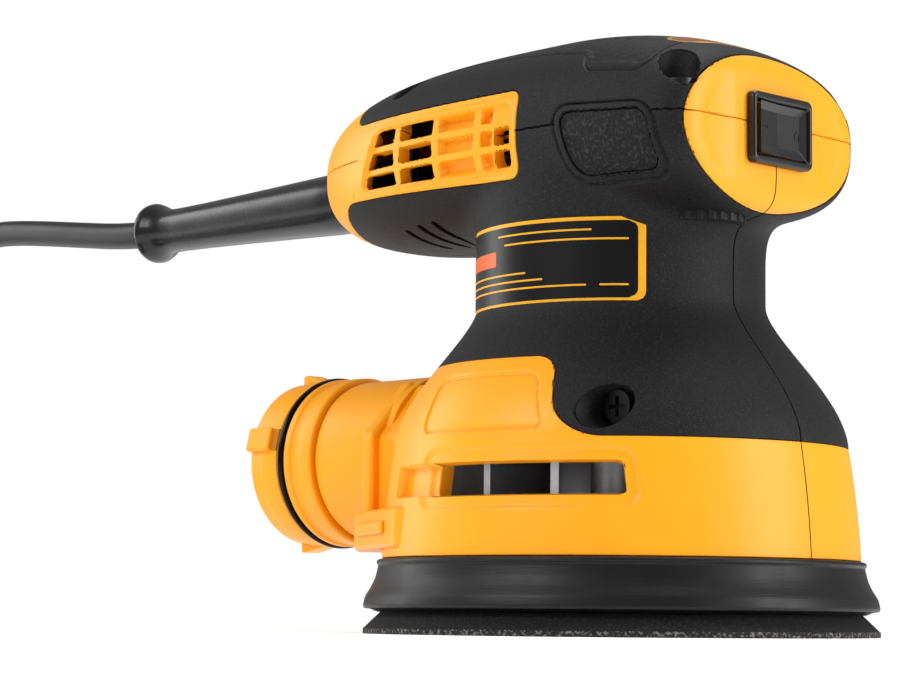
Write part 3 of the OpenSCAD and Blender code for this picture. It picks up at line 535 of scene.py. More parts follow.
def crown_field(p):
    """Ribbed panel over the crown, with a flap down each side."""
    x, y = p[:, 0], np.abs(p[:, 1])
    ridge = round_meet(y - (29.2 - 0.13 * (10 - x)), round_meet(x - 36.3, -45 - x, 4), 3)
    flap = round_meet(y - 34.0, round_meet(x - 35.6, 14.8 - x + 0.5 * (y - 30), 3), 3)
    return np.maximum(round_join(ridge, flap, 1.0), 126 - p[:, 2])


def tongue_field(p):
    """Grained panel on the raised tongue of each side."""
    x, z = p[:, 0], p[:, 2]
    front = 0.92 * (x - 18.6) + 0.39 * (z - 53)
    shape = round_meet(round_meet(z - 60.4, 46.6 - z, 2.5), round_meet(front, -15.6 - x, 2.5), 2.5)
    return np.maximum(shape, 20 - np.abs(p[:, 1]))


def chin_slots(p):
    """Three curved cooling slots under each side of the head."""
    x, y, z = p[:, 0], np.abs(p[:, 1]), p[:, 2]
    slots = [box_field(x - 0.012 * (y - 26) ** 2, y, (at - 0.8, 9.5), (at + 0.8, 26 - lift), 0.8)
             for at, lift in ((-40.0, 0), (-46.0, 1), (-52.5, 3))]
    return np.maximum(np.min(slots, axis=0), np.maximum(z - 104, 88 - z))


def well_field(x0, y0, radius):
    """Round hole bored straight down through the crown."""
    return lambda p: np.maximum(np.hypot(p[:, 0] - x0, np.abs(p[:, 1]) - y0) - radius,
                                120 - p[:, 2])


def side_well(x0, z0, side, radius):
    """Round hole bored straight in from one side."""
    return lambda p: np.maximum(np.hypot(p[:, 0] - x0, p[:, 2] - z0) - radius, 15 - side * p[:, 1])


def press(skin, field, depth, width=0.4):
    """Sinks the area where field is below nought by depth, over a sloped edge of that width."""
    skin = split(split(skin, field), lambda p: field(p) + width)
    points, normals, faces = skin
    fall = depth * np.clip(-field(points) / width, 0, 1)
    return points - normals * fall[:, None], normals, faces


def groove(skin, field, inset, width, depth):
    """Cuts a line of that width and depth, inset from the edge of field."""
    half = width / 2
    return press(skin, lambda p: np.abs(field(p) + inset + half) - half, depth, 0.25)


def vertex_normals(points, faces):
    """Normals from the faces round each vertex, weighted by their corner angles."""
    corner = points[faces]
    face = np.cross(corner[:, 1] - corner[:, 0], corner[:, 2] - corner[:, 0])
    face /= np.maximum(np.linalg.norm(face, axis=1, keepdims=True), 1e-12)
    total = np.zeros_like(points)
    for k in range(3):
        u, v = corner[:, (k + 1) % 3] - corner[:, k], corner[:, (k + 2) % 3] - corner[:, k]
        lengths = np.linalg.norm(u, axis=1) * np.linalg.norm(v, axis=1)
        angle = np.arccos(np.clip((u * v).sum(1) / np.maximum(lengths, 1e-12), -1, 1))
        np.add.at(total, faces[:, k], face * angle[:, None])
    return total / np.maximum(np.linalg.norm(total, axis=1, keepdims=True), 1e-12)


points = skin_grid()
rows, columns = points.shape[:2]
skin = (points.reshape(-1, 3), grid_normals(points).reshape(-1, 3), triangles(rows, columns))
skin = press(skin, grille_field, 1.3, 0.6)
skin = groove(skin, vent_field, 1.3, 0.5, 0.25)
skin = press(skin, lambda p: grille_slots(p, ((-29.2, -16.6), (-14.2, -10.2))), 2.6, 0.35)
skin = press(skin, lambda p: window_field(p) - 3.4, 0.7, 1.0)
skin = press(skin, jamb_field, 2.8, 0.3)
skin = press(skin, tongue_field, 0.35, 0.3)
skin = groove(skin, tongue_field, 0.0, 0.7, 0.3)
skin = groove(skin, pad_field, -0.9, 0.9, 0.6)
skin = groove(skin, crown_field, 0.0, 1.0, 0.6)
points, normals, faces = skin

# The cap is scooped on both sides of its flat middle.
t = np.clip((np.abs(points[:, 1]) - 15.5) / 15, 0, 1)
edge_fade = np.clip(-cap_field(points) / 4, 0, 1) ** 1.5
scoop = 3.4 * t * (1 - t) ** 1.4 * edge_fade
# Slanted grip ribs, each a low saw tooth across the flap of the crown panel.
across = 0.52 * points[:, 0] + 0.85 * np.abs(points[:, 1])
tooth = (across / 2.35) % 1
ribbed = np.clip(-(crown_field(points) + 1.9) / 0.5, 0, 1) * (np.abs(points[:, 1]) > 20)
ribbed *= (points[:, 0] > 6)
points = points - normals * (scoop + 0.45 * ribbed * tooth)[:, None]
skin = (points, vertex_normals(points, faces), faces)

THROUGH = ((-59.4, -46.6), (-44.3, -31.6))
COVER_WELLS = ((42.0, 28.0), (-50.0, 24.0))
WELL_R = 4.7
PAD_INSET, PAD_EDGE = 1.4, 0.45
cuts = (
    lambda p: grille_slots(p, THROUGH),
    lambda p: np.maximum(grille_slots(p, ((-9.6, -4.4),)), p[:, 2] - 121.5),
    window_field, chin_slots, side_well(32, 52, -1, 5.2), side_well(-40, 57, 1, 4.7),
    *(well_field(x, y, WELL_R) for x, y in COVER_WELLS))
for field in (bare_field, lambda p: pad_field(p) + PAD_INSET, lambda p: pad_field(p) - PAD_EDGE,
              lambda p: p[:, 1] + 1e-5, lambda p: p[:, 2] - SEAM_Z, *cuts):
    skin = split(skin, field)
middle = skin[0][skin[2]].mean(1)
open_air = np.min([field(middle) for field in cuts], axis=0) < 0
bare = (bare_field(middle) < 0) & ~open_air
on_pad = (pad_field(middle) + PAD_INSET < 0) & ~bare
grip = ~bare & ~open_air & ~on_pad
above = (middle[:, 2] > SEAM_Z) & (pad_field(middle) > PAD_EDGE)
left = middle[:, 1] > 0


def satin_plastic(name, colour, deep, roughness):
    """Glass-filled nylon: fine spark-eroded grain, and a colour that deepens in faint clouds."""
    material, tree, shader, place = new_material(name)
    grain = node(tree, "ShaderNodeTexNoise",
                 {"Vector": place, "Scale": 1 / (0.6 * MM), "Detail": 2.0})
    flow = node(tree, "ShaderNodeTexNoise",
                {"Vector": place, "Scale": 1 / (35 * MM), "Detail": 1.0})
    tint = node(tree, "ShaderNodeMixRGB", {"Fac": flow.outputs["Fac"], "Color1": to_linear(colour),
                "Color2": to_linear(deep)})
    bump = node(tree, "ShaderNodeBump", {"Height": grain.outputs["Fac"], "Distance": 0.02 * MM})
    shader.inputs["Roughness"].default_value = roughness
    shader.inputs["Specular IOR Level"].default_value = 0.35
    connect(tree, shader, Base_Color=tint.outputs["Color"], Normal=bump.outputs["Normal"])
    return material


def inside_vent_frame(p):
    """The stretch of seam that the vent frame hides."""
    return (np.abs(p[:, 2] - SEAM_Z) < 1.2) & (p[:, 0] > -61) & (vent_field(p) < -0.3)


yellow = satin_plastic("yellow_filled_nylon", "FCAA10", "F7A008", 0.42)
grip_rubber = black_plastic("grained_grip_rubber", "0E0E10", "262628", 0.62, 0.45, 0.1)
pad_rubber = black_plastic("coarse_pad_rubber", "0B0B0D", "323234", 0.7, 0.8, 0.35)

for name, slot, mask, material in (
        ("top_cover_shell", "yellow_casing", bare & above, yellow),
        ("left_housing_shell", "yellow_casing", bare & ~above & left, yellow),
        ("right_housing_shell", "yellow_casing", bare & ~above & ~left, yellow),
        ("top_grip_skin", "grip_rubber", grip & above, grip_rubber),
        ("left_grip_skin", "grip_rubber", grip & ~above & left, grip_rubber),
        ("right_grip_skin", "grip_rubber", grip & ~above & ~left, grip_rubber)):
    piece = shell_piece(name, skin, mask, tight=inside_vent_frame)
    dress(piece, material, "casing")
    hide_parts(name.rsplit("_", 1)[0])
for name, mask in (("left_side_pad", on_pad & left), ("right_side_pad", on_pad & ~left)):
    piece = shell_piece(name, skin, mask, sink=0.45, wall=1.0)
    dress(piece, pad_rubber, "casing")


# ---- Screw wells ----
# Blind wells moulded in the shells, so that each screw head sits below the surface. Cut walls
# are black where the rubber lines them.

def crown_height(x, y):
    """Height of the head's skin above x, y, from the superellipse of its section."""
    width, crown = head_sections(np.asarray(x, float))[:2]
    return HEAD_Z + crown * np.clip(1 - (np.abs(y) / width) ** POWER, 0, 1) ** (1 / POWER)


def tube_well(name, mouth, foot, hole):
    """Well wall from a mouth ring to a foot ring, and a floor in to the screw's hole.
    Each ring is an array of points in millimetres, all with as many points."""
    rings = np.stack([mouth, mouth * 0.5 + foot * 0.5, foot, hole])
    quads = grid_faces(4, len(mouth), wrap_v=True)
    return solid_mesh(name, rings.reshape(-1, 3) * MM, quads[:, ::-1], crease=40)


def grid_faces(rows, cols, wrap_u=False, wrap_v=False):
    """Quads of a grid of rows and columns, closed round either way if asked."""
    i = np.arange(rows if wrap_u else rows - 1)[:, None]
    j = np.arange(cols if wrap_v else cols - 1)[None, :]
    i2, j2 = (i + 1) % rows, (j + 1) % cols
    return np.stack([i * cols + j, i * cols + j2, i2 * cols + j2, i2 * cols + j], -1).reshape(-1, 4)


SCREW_HOLE_R = 2.1
turn = np.linspace(0, 2 * np.pi, 48, endpoint=False)
for x0, y0 in COVER_WELLS:
    for side, word in ((-1, "right"), (1, "left")):
        x = x0 + (WELL_R + 0.1) * np.cos(turn)
        y = side * y0 + (WELL_R + 0.1) * np.sin(turn)
        mouth = np.stack([x, y, crown_height(x, y) - 0.5], -1)
        foot = np.stack([x, y, np.full_like(x, 124.8)], -1)
        hole = np.stack([x0 + SCREW_HOLE_R * np.cos(turn),
                         side * y0 + SCREW_HOLE_R * np.sin(turn), foot[:, 2]], -1)
        end = "front" if x0 > 0 else "rear"
        piece = tube_well(f"{end}_{word}_cover_well", mouth, foot, hole)
        dress(piece, grip_rubber, "casing")
for x0, z0, side, radius, seat, word in ((32, 52, -1, 5.3, 35.5, "front"),
                                         (-40, 57, 1, 4.8, 26.4, "rear")):
    x, z = x0 + radius * np.cos(turn), z0 + radius * np.sin(turn)
    skin_y = np.sqrt(np.maximum(body_radius(z) ** 2 - x ** 2, 1))
    mouth = np.stack([x, side * (skin_y - 0.5), z], -1)
    foot = np.stack([x, np.full_like(x, side * (seat - 0.1)), z], -1)
    hole = np.stack([x0 + SCREW_HOLE_R * np.cos(turn), foot[:, 1],
                     z0 + SCREW_HOLE_R * np.sin(turn)], -1)
    piece = tube_well(f"{word}_housing_well", mouth, foot, hole)
    if side < 0:
        piece.data.flip_normals()
    dress(piece, grip_rubber, "casing")


# ---- Screws ----
# Thread-forming steel screws with pan heads and cross recesses, blackened against rust.

def metal(name, colour, roughness, brush=(1, 1, 1), brush_mm=0.4, depth_mm=0.004, metallic=1.0,
          shine=0.5):
    """Machined or cast metal: fine marks in the bump, drawn out along the axes where brush is
    small, and patches of duller surface. The colour is sRGB hex."""
    material, tree, shader, place = new_material(name)
    along = node(tree, "ShaderNodeMapping", {"Vector": place, "Scale": brush}).outputs["Vector"]
    marks = node(tree, "ShaderNodeTexNoise", {"Vector": along, "Scale": 1 / (brush_mm * MM),
                 "Detail": 3.0}).outputs["Fac"]
    dull = node(tree, "ShaderNodeTexNoise", {"Vector": place, "Scale": 1 / (5 * MM)}).outputs["Fac"]
    rough = node(tree, "ShaderNodeMapRange", {"Value": dull, "To Min": roughness - 0.06,
                 "To Max": roughness + 0.1})
    shade = node(tree, "ShaderNodeHueSaturation", {"Color": to_linear(colour)})
    value = node(tree, "ShaderNodeMapRange", {"Value": marks, "To Min": 0.85, "To Max": 1.1})
    tree.links.new(value.outputs["Result"], shade.inputs["Value"])
    bump = node(tree, "ShaderNodeBump", {"Height": marks, "Distance": depth_mm * MM})
    shader.inputs["Metallic"].default_value = metallic
    shader.inputs["Specular IOR Level"].default_value = shine
    connect(tree, shader, Base_Color=shade.outputs["Color"], Roughness=rough.outputs["Result"],
            Normal=bump.outputs["Normal"])
    return material


def finish_nodes(material, *names):
    """Gives carried-over solids their material."""
    for name in names:
        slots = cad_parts[name].data.materials
        slots.clear()
        slots.append(material)


black_screw = metal("blackened_screw_steel", "3A3A3C", 0.35)
finish_nodes(black_screw, "housing_screws", "cover_screws", "pad_screws", "bearing_clip")


# ---- Nameplate ----
# Printed polyester label on the neck, black with a yellow border and no wording. A plain orange
# bar and thin rules keep its printed look.

def neck_plate(name, z_span, angle_span, radius, corner, thick):
    """Thin plate wrapped on the neck: a grid of arc length and height, drawn in towards the
    middle by a quarter circle near the top and bottom, and closed with a back face."""
    u = np.linspace(-1, 1, 81)
    v = np.linspace(-1, 1, 25)
    half_arc = math.radians(angle_span[1] - angle_span[0]) / 2 * radius
    half_h = (z_span[1] - z_span[0]) / 2
    s, h = np.meshgrid(u * half_arc, v * half_h, indexing="ij")
    over = np.clip((np.abs(h) - (half_h - corner)) / corner, 0, 1)
    reach = half_arc - corner * (1 - np.sqrt(np.clip(1 - over ** 2, 0, 1)))
    s = s / half_arc * reach
    angle = math.radians(sum(angle_span) / 2) + s / radius
    z = sum(z_span) / 2 + h
    front = np.stack([radius * np.cos(angle), radius * np.sin(angle), z], -1)
    back = np.stack([(radius - thick) * np.cos(angle), (radius - thick) * np.sin(angle), z], -1)
    return slab(name, front, back)


def slab(name, front, back, crease=50):
    """Closed solid between two grids of equal shape: both faces and the walls joining them."""
    rows, cols = front.shape[:2]
    quads = grid_faces(rows, cols)
    index = np.arange(rows * cols).reshape(rows, cols)
    rim = np.concatenate([index[0, :-1], index[:-1, -1], index[-1, :0:-1], index[:0:-1, 0]])
    after, shift = np.roll(rim, -1), rows * cols
    walls = np.stack([rim, rim + shift, after + shift, after], -1)
    verts = np.concatenate([front.reshape(-1, 3), back.reshape(-1, 3)])
    faces = np.concatenate([quads, quads[:, ::-1] + shift, walls])
    middle = front.reshape(-1, 3).mean(0) - back.reshape(-1, 3).mean(0)
    turned = np.cross(front[1, 0] - front[0, 0], front[0, 1] - front[0, 0])
    if turned @ middle < 0:
        faces = faces[:, ::-1]
    return solid_mesh(name, verts * MM, faces, crease=crease)


def printed_film(name, colour, roughness):
    """Printed and laminated polyester: smooth, with a faint orange-peel in the gloss."""
    material, tree, shader, place = new_material(name)
    peel = node(tree, "ShaderNodeTexNoise", {"Vector": place, "Scale": 1 / (2 * MM)}).outputs["Fac"]
    tint = node(tree, "ShaderNodeHueSaturation", {"Color": to_linear(colour)})
    value = node(tree, "ShaderNodeMapRange", {"Value": peel, "To Min": 0.94, "To Max": 1.04})
    tree.links.new(value.outputs["Result"], tint.inputs["Value"])
    bump = node(tree, "ShaderNodeBump", {"Height": peel, "Distance": 0.01 * MM})
    shader.inputs["Roughness"].default_value = roughness
    shader.inputs["Specular IOR Level"].default_value = 0.25
    connect(tree, shader, Base_Color=tint.outputs["Color"], Normal=bump.outputs["Normal"])
    return material


label_black = printed_film("black_printed_film", "070709", 0.35)
label_yellow = printed_film("yellow_printed_film", "EDA920", 0.4)
label_orange = printed_film("orange_printed_film", "E0662A", 0.4)
border = neck_plate("nameplate_border", (77.6, 97.6), (-140, -39.5), NECK_R + 0.46, 2.6, 0.6)
ground = neck_plate("nameplate_ground", (78.5, 96.7), (-139, -42.5), NECK_R + 0.52, 2.2, 0.3)
marks = [("bar", label_orange, (87.6, 91.2), (-136, -105.5), 0.5)]
rules = ((94.6, (-104, -60)), (92.4, (-100, -46)), (85.2, (-136, -88)),
         (83.4, (-136, -80)), (81.6, (-136, -62)), (81.6, (-57, -46)))
marks += [(f"rule_{k + 1}", label_yellow, (z - 0.22, z + 0.22), span, 0.2)
          for k, (z, span) in enumerate(rules)]
pieces = [(border, label_yellow), (ground, label_black)]
pieces += [(neck_plate("nameplate_" + word, z, a, NECK_R + 0.55, c, 0.1), ink)
           for word, ink, z, a, c in marks]
for piece, ink in pieces:
    dress(piece, ink, "casing")
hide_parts("nameplate")


# ---- Top badge ----
# Small printed plate let into the crown, gold-edged with a plain bronze ground.

def crown_plate(name, x_span, half_y, lift, thick):
    """Plate that follows the crown: its outline is an oval and its height the head's skin."""
    r = np.linspace(0.02, 1, 14)[:, None]
    a = np.linspace(0, 2 * np.pi, 61)[None, :]
    across = np.sign(np.cos(a)) * np.abs(np.cos(a)) ** 0.6
    x = sum(x_span) / 2 + (x_span[1] - x_span[0]) / 2 * r * across
    y = half_y * r * np.sign(np.sin(a)) * np.abs(np.sin(a)) ** 0.6
    z = crown_height(x, y)
    return slab(name, np.stack([x, y, z + lift], -1), np.stack([x, y, z + lift - thick], -1))


badge_rim = crown_plate("top_badge_rim", (28, 38.5), 19.5, 0.05, 0.35)
badge_face = crown_plate("top_badge_face", (29, 37.5), 18.4, 0.09, 0.3)
dress(badge_rim, metal("gold_foil_edge", "C99A45", 0.35), "casing")
dress(badge_face, printed_film("bronze_printed_film", "7A4018", 0.35), "casing")
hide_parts("top_badge")


# ---- Switch ----
# Rocker switch snapped into the cap: a moulded bezel in gloss black polycarbonate, and a dished
# rocker on an upright pin, marked with a line and a ring.

BEZEL_HALF, OPENING_HALF = (11.1, 8.4), (9.75, 6.3)
SWITCH_Z = HEAD_Z - 0.6


def rounded_ring(half_y, half_z, radius, x, steps=10):
    """Rounded rectangle in the plane at x, as a closed ring of points."""
    a = np.linspace(0, np.pi / 2, steps)
    quarter = [(half_y - radius, half_z - radius, 0), (radius - half_y, half_z - radius, 1),
               (radius - half_y, radius - half_z, 2), (half_y - radius, radius - half_z, 3)]
    y = np.concatenate([cy + radius * np.cos(a + k * np.pi / 2) for cy, cz, k in quarter])
    z = np.concatenate([cz + radius * np.sin(a + k * np.pi / 2) for cy, cz, k in quarter])
    return np.stack([np.full_like(y, x), y, SWITCH_Z + z], -1)


bezel_profile = ((0, 48.0), (0, 49.9), (0.1, 50.3), (0.25, 50.5), (0.6, 50.55), (0.75, 50.45),
                 (0.98, 49.7), (1, 49.5), (1, 43.5), (0.2, 43.5), (0.2, 48.0))
rings = []
for t, x in bezel_profile:
    half = [b + (o - b) * t for b, o in zip(BEZEL_HALF, OPENING_HALF)]
    rings.append(rounded_ring(*half, 1.6 - 0.9 * t, x))
rings = np.stack(rings)
bezel = solid_mesh("switch_bezel", rings.reshape(-1, 3) * MM,
                   grid_faces(*rings.shape[:2], wrap_u=True, wrap_v=True), crease=40)
gloss_black = black_plastic("gloss_black_polycarbonate", "0B0B0D", "121214", 0.3, 0.6, 0.01, 0.5)
dress(bezel, gloss_black, "casing")
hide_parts("switch_body")

y, z = np.meshgrid(np.linspace(-9.05, 9.55, 187), np.linspace(-6.1, 6.1, 123), indexing="ij")
rise = np.where(y < -0.4, 49.0 + 1.1 * (-0.4 - y) / 8.7, 49.0)
inset = np.clip(np.minimum((6.1 - z) / 1.7, (6.1 + z) / 2.3), 0, 1)
inset = np.minimum(inset, np.clip(np.minimum((9.55 - y) / 1.6, (9.05 + y) / 1.2), 0, 1))
front_x = rise - 1.0 * inset + 0.75
line_mark = (np.abs(z - 0.5) < 0.22) & (y > -8.2) & (y < -4.6)
ring_mark = np.abs(np.hypot((y - 7.0) / 0.75, z + 0.4) - 1.15) < 0.2
front_x = front_x - 0.22 * (line_mark | ring_mark)
front = np.stack([front_x, y, SWITCH_Z + z], -1)
back = np.stack([np.full_like(y, 43.0), y * 0.4, SWITCH_Z + z * 0.9], -1)
rocker = slab("switch_rocker_cap", front, back, crease=30)
satin_black = black_plastic("satin_black_polycarbonate", "161618", "202022", 0.3, 0.5, 0.01, 0.6)
dress(rocker, satin_black, "switch_rocker")
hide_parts("switch_rocker")


# ---- Tail block ----
# Box at the rear of the shroud that carries the dust outlet, moulded in one with the two halves:
# a core with a chamfered top, an upright flange and a low skirt that runs on from the shroud.

def prism(name, outline, axis, span, bevel):
    """Extrudes a polygon outline (its two coordinates in axis order) along an axis, and rounds
    all its edges with a bevel modifier."""
    outline = np.asarray(outline, float)
    n = len(outline)
    verts = np.concatenate([np.insert(outline, axis, at, axis=1) for at in span]) * MM
    mesh = bpy.data.meshes.new(name)
    side = [(k, (k + 1) % n, n + (k + 1) % n, n + k) for k in range(n)]
    mesh.from_pydata(verts.tolist(), [], [tuple(range(n))[::-1], tuple(range(n, 2 * n)), *side])
    obj = bpy.data.objects.new(name, mesh)
    bpy.context.collection.objects.link(obj)
    box = bmesh.new()
    box.from_mesh(mesh)
    bmesh.ops.recalc_face_normals(box, faces=box.faces)
    box.to_mesh(mesh)
    box.free()
    mesh.polygons.foreach_set("use_smooth", np.full(len(mesh.polygons), True))
    rounding = obj.modifiers.new("rounding", "BEVEL")
    rounding.width = bevel * MM
    rounding.segments = 3
    rounding.harden_normals = True
    return obj


section = [(-22.5, 21), (22.5, 21), (22.5, 49.5), (10.5, 63.5), (-10.5, 63.5), (-22.5, 49.5)]
flange = [(-25, 20.3), (25, 20.3), (25, 50), (11, 64.4), (-11, 64.4), (-25, 50)]
plan = [(-66, -27), (-58, -34.5), (-24, -54.2), (-5, -50), (-5, 50), (-24, 54.2), (-58, 34.5),
        (-66, 27)]
blocks = [prism("tail_core", section, 0, (-64, -36), 1.2),
          prism("tail_flange", flange, 0, (-66.1, -62), 1.3),
          prism("tail_skirt", plan, 2, (20.2, 30), 1.4)]
for side, word in ((-1, "right"), (1, "left")):
    a, b = np.array((-31, side * 50.1)), np.array((-53.5, side * 37.1))
    out = np.array((b[1] - a[1], a[0] - b[0])) / np.linalg.norm(b - a) * -side
    out *= np.sign(out[1] * side)
    blocks.append(prism(f"tail_bar_{word}", [a, b, b + out, a + out], 2, (23.8, 26.8), 0.35))
for piece in blocks:
    dress(piece, yellow, "casing")


# ---- Dust outlet ----
# Fixed barrel pressed into the tail block, and a twist collar in the same nylon that turns on
# its spigot. A black spring wire in the collar's groove snaps into a hose cuff.

def turned(name, profile, centre, axis, steps=192, crease=32):
    """Solid of revolution: a closed profile of (along, radius) points turned about an axis
    through centre, in millimetres."""
    profile = np.asarray(profile, float)
    a = np.arange(steps) / steps * 2 * np.pi
    axis = np.asarray(axis, float)
    side = np.cross(axis, (0, 1, 0)) if abs(axis[1]) < 0.5 else np.cross(axis, (0, 0, 1))
    side /= np.linalg.norm(side)
    third = np.cross(axis, side)
    spoke = np.cos(a)[:, None] * side + np.sin(a)[:, None] * third
    points = (np.asarray(centre) + profile[:, None, 0, None] * axis
              + profile[:, None, 1, None] * spoke[None])
    return solid_mesh(name, points.reshape(-1, 3) * MM,
                      grid_faces(len(profile), steps, wrap_u=True, wrap_v=True), crease=crease)


def soften(profile, radius, steps=4):
    """Rounds every corner of a closed profile with a short curve no longer than radius, or
    0.4 of either side: points (1-t)^2 a + 2t(1-t) corner + t^2 b."""
    profile = np.asarray(profile, float)
    out = []
    for before, corner, after in zip(np.roll(profile, 1, 0), profile, np.roll(profile, -1, 0)):
        into, away = before - corner, after - corner
        a = corner + into * min(radius / np.linalg.norm(into), 0.4)
        b = corner + away * min(radius / np.linalg.norm(away), 0.4)
        t = np.linspace(0, 1, steps)[:, None]
        out.append((1 - t) ** 2 * a + 2 * t * (1 - t) * corner + t ** 2 * b)
    return np.concatenate(out)


PORT = (0, 0, 45)
barrel = turned("dust_port_barrel", soften([
    (-60, 21.4), (-86.6, 21.2), (-87.9, 20.9), (-87.9, 18.2), (-99, 18.2), (-99, 16), (-60, 16)],
    0.5), PORT, (1, 0, 0))
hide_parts("dust_port")
collar = turned("dust_collar_ring", soften([
    (-88.4, 21.9), (-88.9, 22.4), (-92.6, 22.4), (-93.0, 21.8), (-96.0, 21.8), (-96.6, 22.5),
    (-98.5, 22.5), (-98.7, 21.0), (-101.4, 21.0), (-101.6, 22.4), (-107.5, 22.4), (-108, 22.1),
    (-112, 21.9), (-112.5, 21.3), (-112.5, 18.2), (-112, 17.75), (-99.3, 17.75), (-99.3, 18.3),
    (-88.4, 18.3)], 0.4), PORT, (1, 0, 0))
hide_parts("dust_collar")
lug_angle = math.radians(-14)
lugs = [prism("collar_lug_side", [(-112.4, -3.2), (-103.4, -3.2), (-103.4, 3.2), (-112.4, 3.2)], 1,
              (-24, -21), 0.8),
        prism("collar_lug_top", [(-112.6, 21), (-112.6, 24), (-111, 24.2), (-103.5, 22.2),
                                 (-103.5, 21)], 1, (-3, 3), 0.5),
        prism("collar_lug_foot", [(-112.6, -24), (-112.6, -21), (-104, -21), (-104, -22.4),
                                  (-111, -24)], 1, (-3, 3), 0.5)]
for lug in lugs:
    turn_back = Matrix.Rotation(lug_angle if lug.name.endswith("side") else 0, 4, "X")
    lug.data.transform(Matrix.Translation(metres(*PORT)) @ turn_back)
# A thin plate of darker nylon lies in the pocket beside the side lug. Its colour is painted shade
# of that recess, not a different colour of nylon.
pocket = prism("collar_pocket", [(-106, -3), (-101.6, -3), (-101.6, 3), (-106, 3)], 1,
               (-22.55, -21), 0.25)
pocket.data.transform(Matrix.Translation(metres(*PORT)) @ Matrix.Rotation(lug_angle, 4, "X"))
pocket_painted_shade = satin_plastic("nylon_pocket_painted_shade", "C77E1C", "B87012", 0.6)
for piece in (barrel, collar, *lugs, pocket):
    dress(piece, pocket_painted_shade if piece is pocket else yellow,
          "casing" if piece is barrel else "dust_collar")
spring_wire = metal("black_spring_wire", "1B1B1D", 0.22, metallic=0.85)
finish_nodes(spring_wire, "collar_clip")


# ---- Brake skirt ----
# Flared ring of smooth black rubber that plugs into the shroud and rubs on the pad, turned in the
# mould so that fine lines run round it.

skirt_rubber = metal("smooth_moulded_rubber", "09090B", 0.42, (0.04, 0.04, 1), 0.3, 0.05, 0.0, 0.3)
skirt = turned("brake_skirt_ring", soften([
    (6.0, 61.0), (6.0, 62.3), (6.8, 62.6), (9.0, 62.1), (11.2, 60.7), (13.3, 59.7), (16.4, 58.95),
    (16.9, 59.4), (17.6, 59.3), (18.0, 58.6), (18.0, 53.0), (23.8, 53.0), (23.8, 51.2),
    (16.4, 51.2), (15.0, 56.0), (10.6, 57.6), (5.2, 57.8), (5.2, 59.2)], 0.6),
    (0, 0, 0), (0, 0, 1), 256)
dress(skirt, skirt_rubber, "casing")
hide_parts("brake_skirt")


# ---- Pad ----
# Moulded urethane foam pad with a grained rim, and a nylon hook layer glued under it whose cut
# edge shows pale fibre ends.

pad_foam = black_plastic("grained_urethane_foam", "101012", "2C2C2F", 0.75, 0.5, 0.15)
hook_nylon = black_plastic("nylon_hook_layer", "242322", "8A8782", 0.85, 0.7, 0.4)
finish_nodes(pad_foam, "backing_pad")
finish_nodes(hook_nylon, "hook_face")


# ---- Cord guard ----
# Tapered sleeve of gloss black rubber moulded round the lead, held by its flange in the rear of
# the head. It ends in a rolled bell lip.

guard_x = np.array([-72, -78, -95.5, -96.5, -103, -120, -140, -158, -168, -172, -174.5, -176.5,
                    -178.5, -180, -181, -181.7, -182])
guard_r = np.array([8.2, 8.25, 8.3, 8.4, 8.4, 7.75, 7.05, 6.5, 6.3, 6.3, 6.6, 7.3, 8.2, 8.7, 8.6,
                    8.0, 7.2])
fine_x = np.concatenate([guard_x[:5], np.linspace(-104, -167, 15), guard_x[8:]])
fine_r = np.interp(-fine_x, -guard_x, guard_r)
drop = np.interp(-fine_x, (96, 182), (0, -1.0))
GUARD_SIDES = 64
a = np.arange(GUARD_SIDES) / GUARD_SIDES * 2 * np.pi
sleeve = np.stack([np.broadcast_to(fine_x[:, None], (len(fine_x), GUARD_SIDES)),
                   fine_r[:, None] * np.cos(a),
                   116 + drop[:, None] + fine_r[:, None] * np.sin(a)], -1)
end_ring = sleeve[-1:] * 0.5 + np.array((-182.0, 0, 115.0)) * 0.5
sleeve = np.concatenate([sleeve, end_ring])
guard = solid_mesh("cord_guard_sleeve", sleeve.reshape(-1, 3) * MM,
                   grid_faces(len(sleeve), GUARD_SIDES, wrap_v=True)[:, ::-1], crease=60)
guard_rubber = black_plastic("gloss_guard_rubber", "09090B", "101012", 0.26, 0.8, 0.02, 0.45)
dress(guard, guard_rubber, "casing")
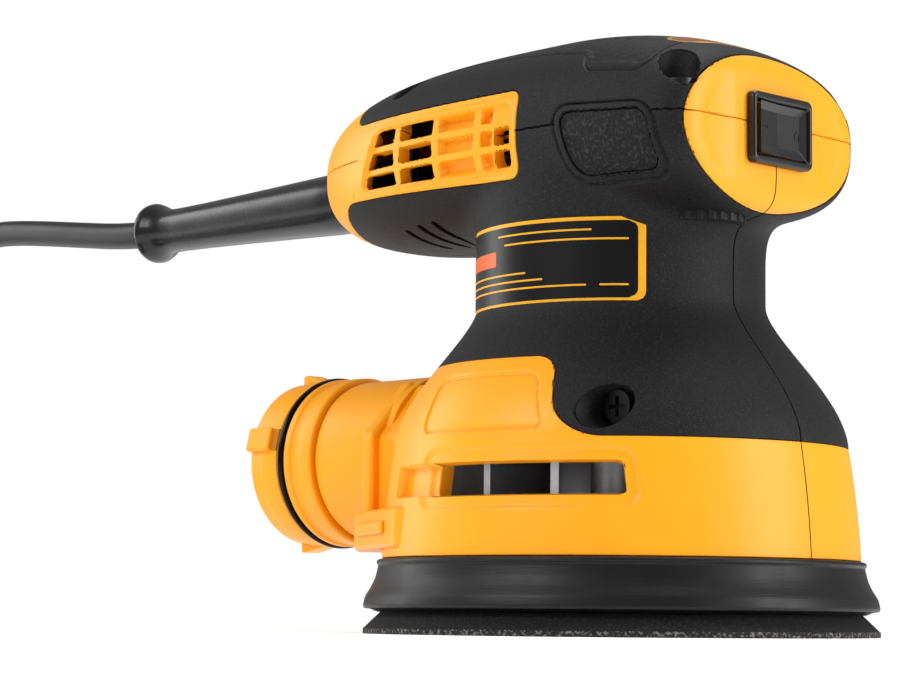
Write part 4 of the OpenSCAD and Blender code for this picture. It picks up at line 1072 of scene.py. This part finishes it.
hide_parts("cord_guard")


# ---- Plug ----
# Two-blade mains plug moulded on the lead in the same rubber, with flat brass blades.

finish_nodes(lead_rubber, "plug")
blade_brass = metal("stamped_brass", "C9A45A", 0.3, (0.1, 1, 1))
finish_nodes(blade_brass, "plug_blades", "brush_holders", "brush_leads")


# ---- Motor and drive ----
# Universal motor on an upright shaft: varnished laminations, enamelled copper coils, a copper
# commutator, ground steel shafts and bearings, and a die-cast fan that also drives the pad.

ground_steel = metal("ground_steel", "B9BABD", 0.22, (1, 1, 0.2))
cast_alloy = metal("die_cast_alloy", "D4D5D8", 0.32, brush_mm=0.9, depth_mm=0.02)
finish_nodes(ground_steel, "motor_shaft", "upper_bearing", "lower_bearing", "plate_screws",
             "brush_springs", "counterweight", "eccentric_pin", "pad_bearing", "clamp_screws")
finish_nodes(cast_alloy, "fan", "pad_hub")
# The bearing plate is coloured darker than its cast alloy. This is painted shade of the motor's
# inside, seen through the exhaust window.
finish_nodes(metal("cast_alloy_painted_shade", "3B3B3E", 0.55, brush_mm=0.9, depth_mm=0.02), "bearing_plate")
finish_nodes(metal("varnished_laminations", "6E6A66", 0.4, (0.02, 0.02, 1), 0.5, 0.05),
             "field_core", "armature_core")
finish_nodes(metal("enamelled_copper_wire", "A9602F", 0.3, (1, 1, 0.1), 0.5, 0.12),
             "field_windings", "armature_windings")
finish_nodes(metal("turned_copper", "C07A4C", 0.28, (0.05, 0.05, 1)), "commutator")
finish_nodes(black_plastic("pressed_carbon_graphite", "1F1F20", "37373A", 0.5, 0.3, 0.03),
             "carbon_brushes")
finish_nodes(black_plastic("moulded_boot_rubber", "1B1B1C", "272729", 0.6, 0.6, 0.03),
             "bearing_boot")
finish_nodes(black_plastic("moulded_black_nylon", "1A1A1B", "2B2B2D", 0.5, 0.5, 0.04),
             "speed_dial", "cord_clamp")
finish_nodes(black_plastic("brown_wire_insulation", "4A2A1A", "5A3623", 0.45, 0.6, 0.02),
             "supply_leads")
finish_nodes(black_plastic("green_circuit_laminate", "1F4A33", "2C6144", 0.4, 1.2, 0.02),
             "speed_module")
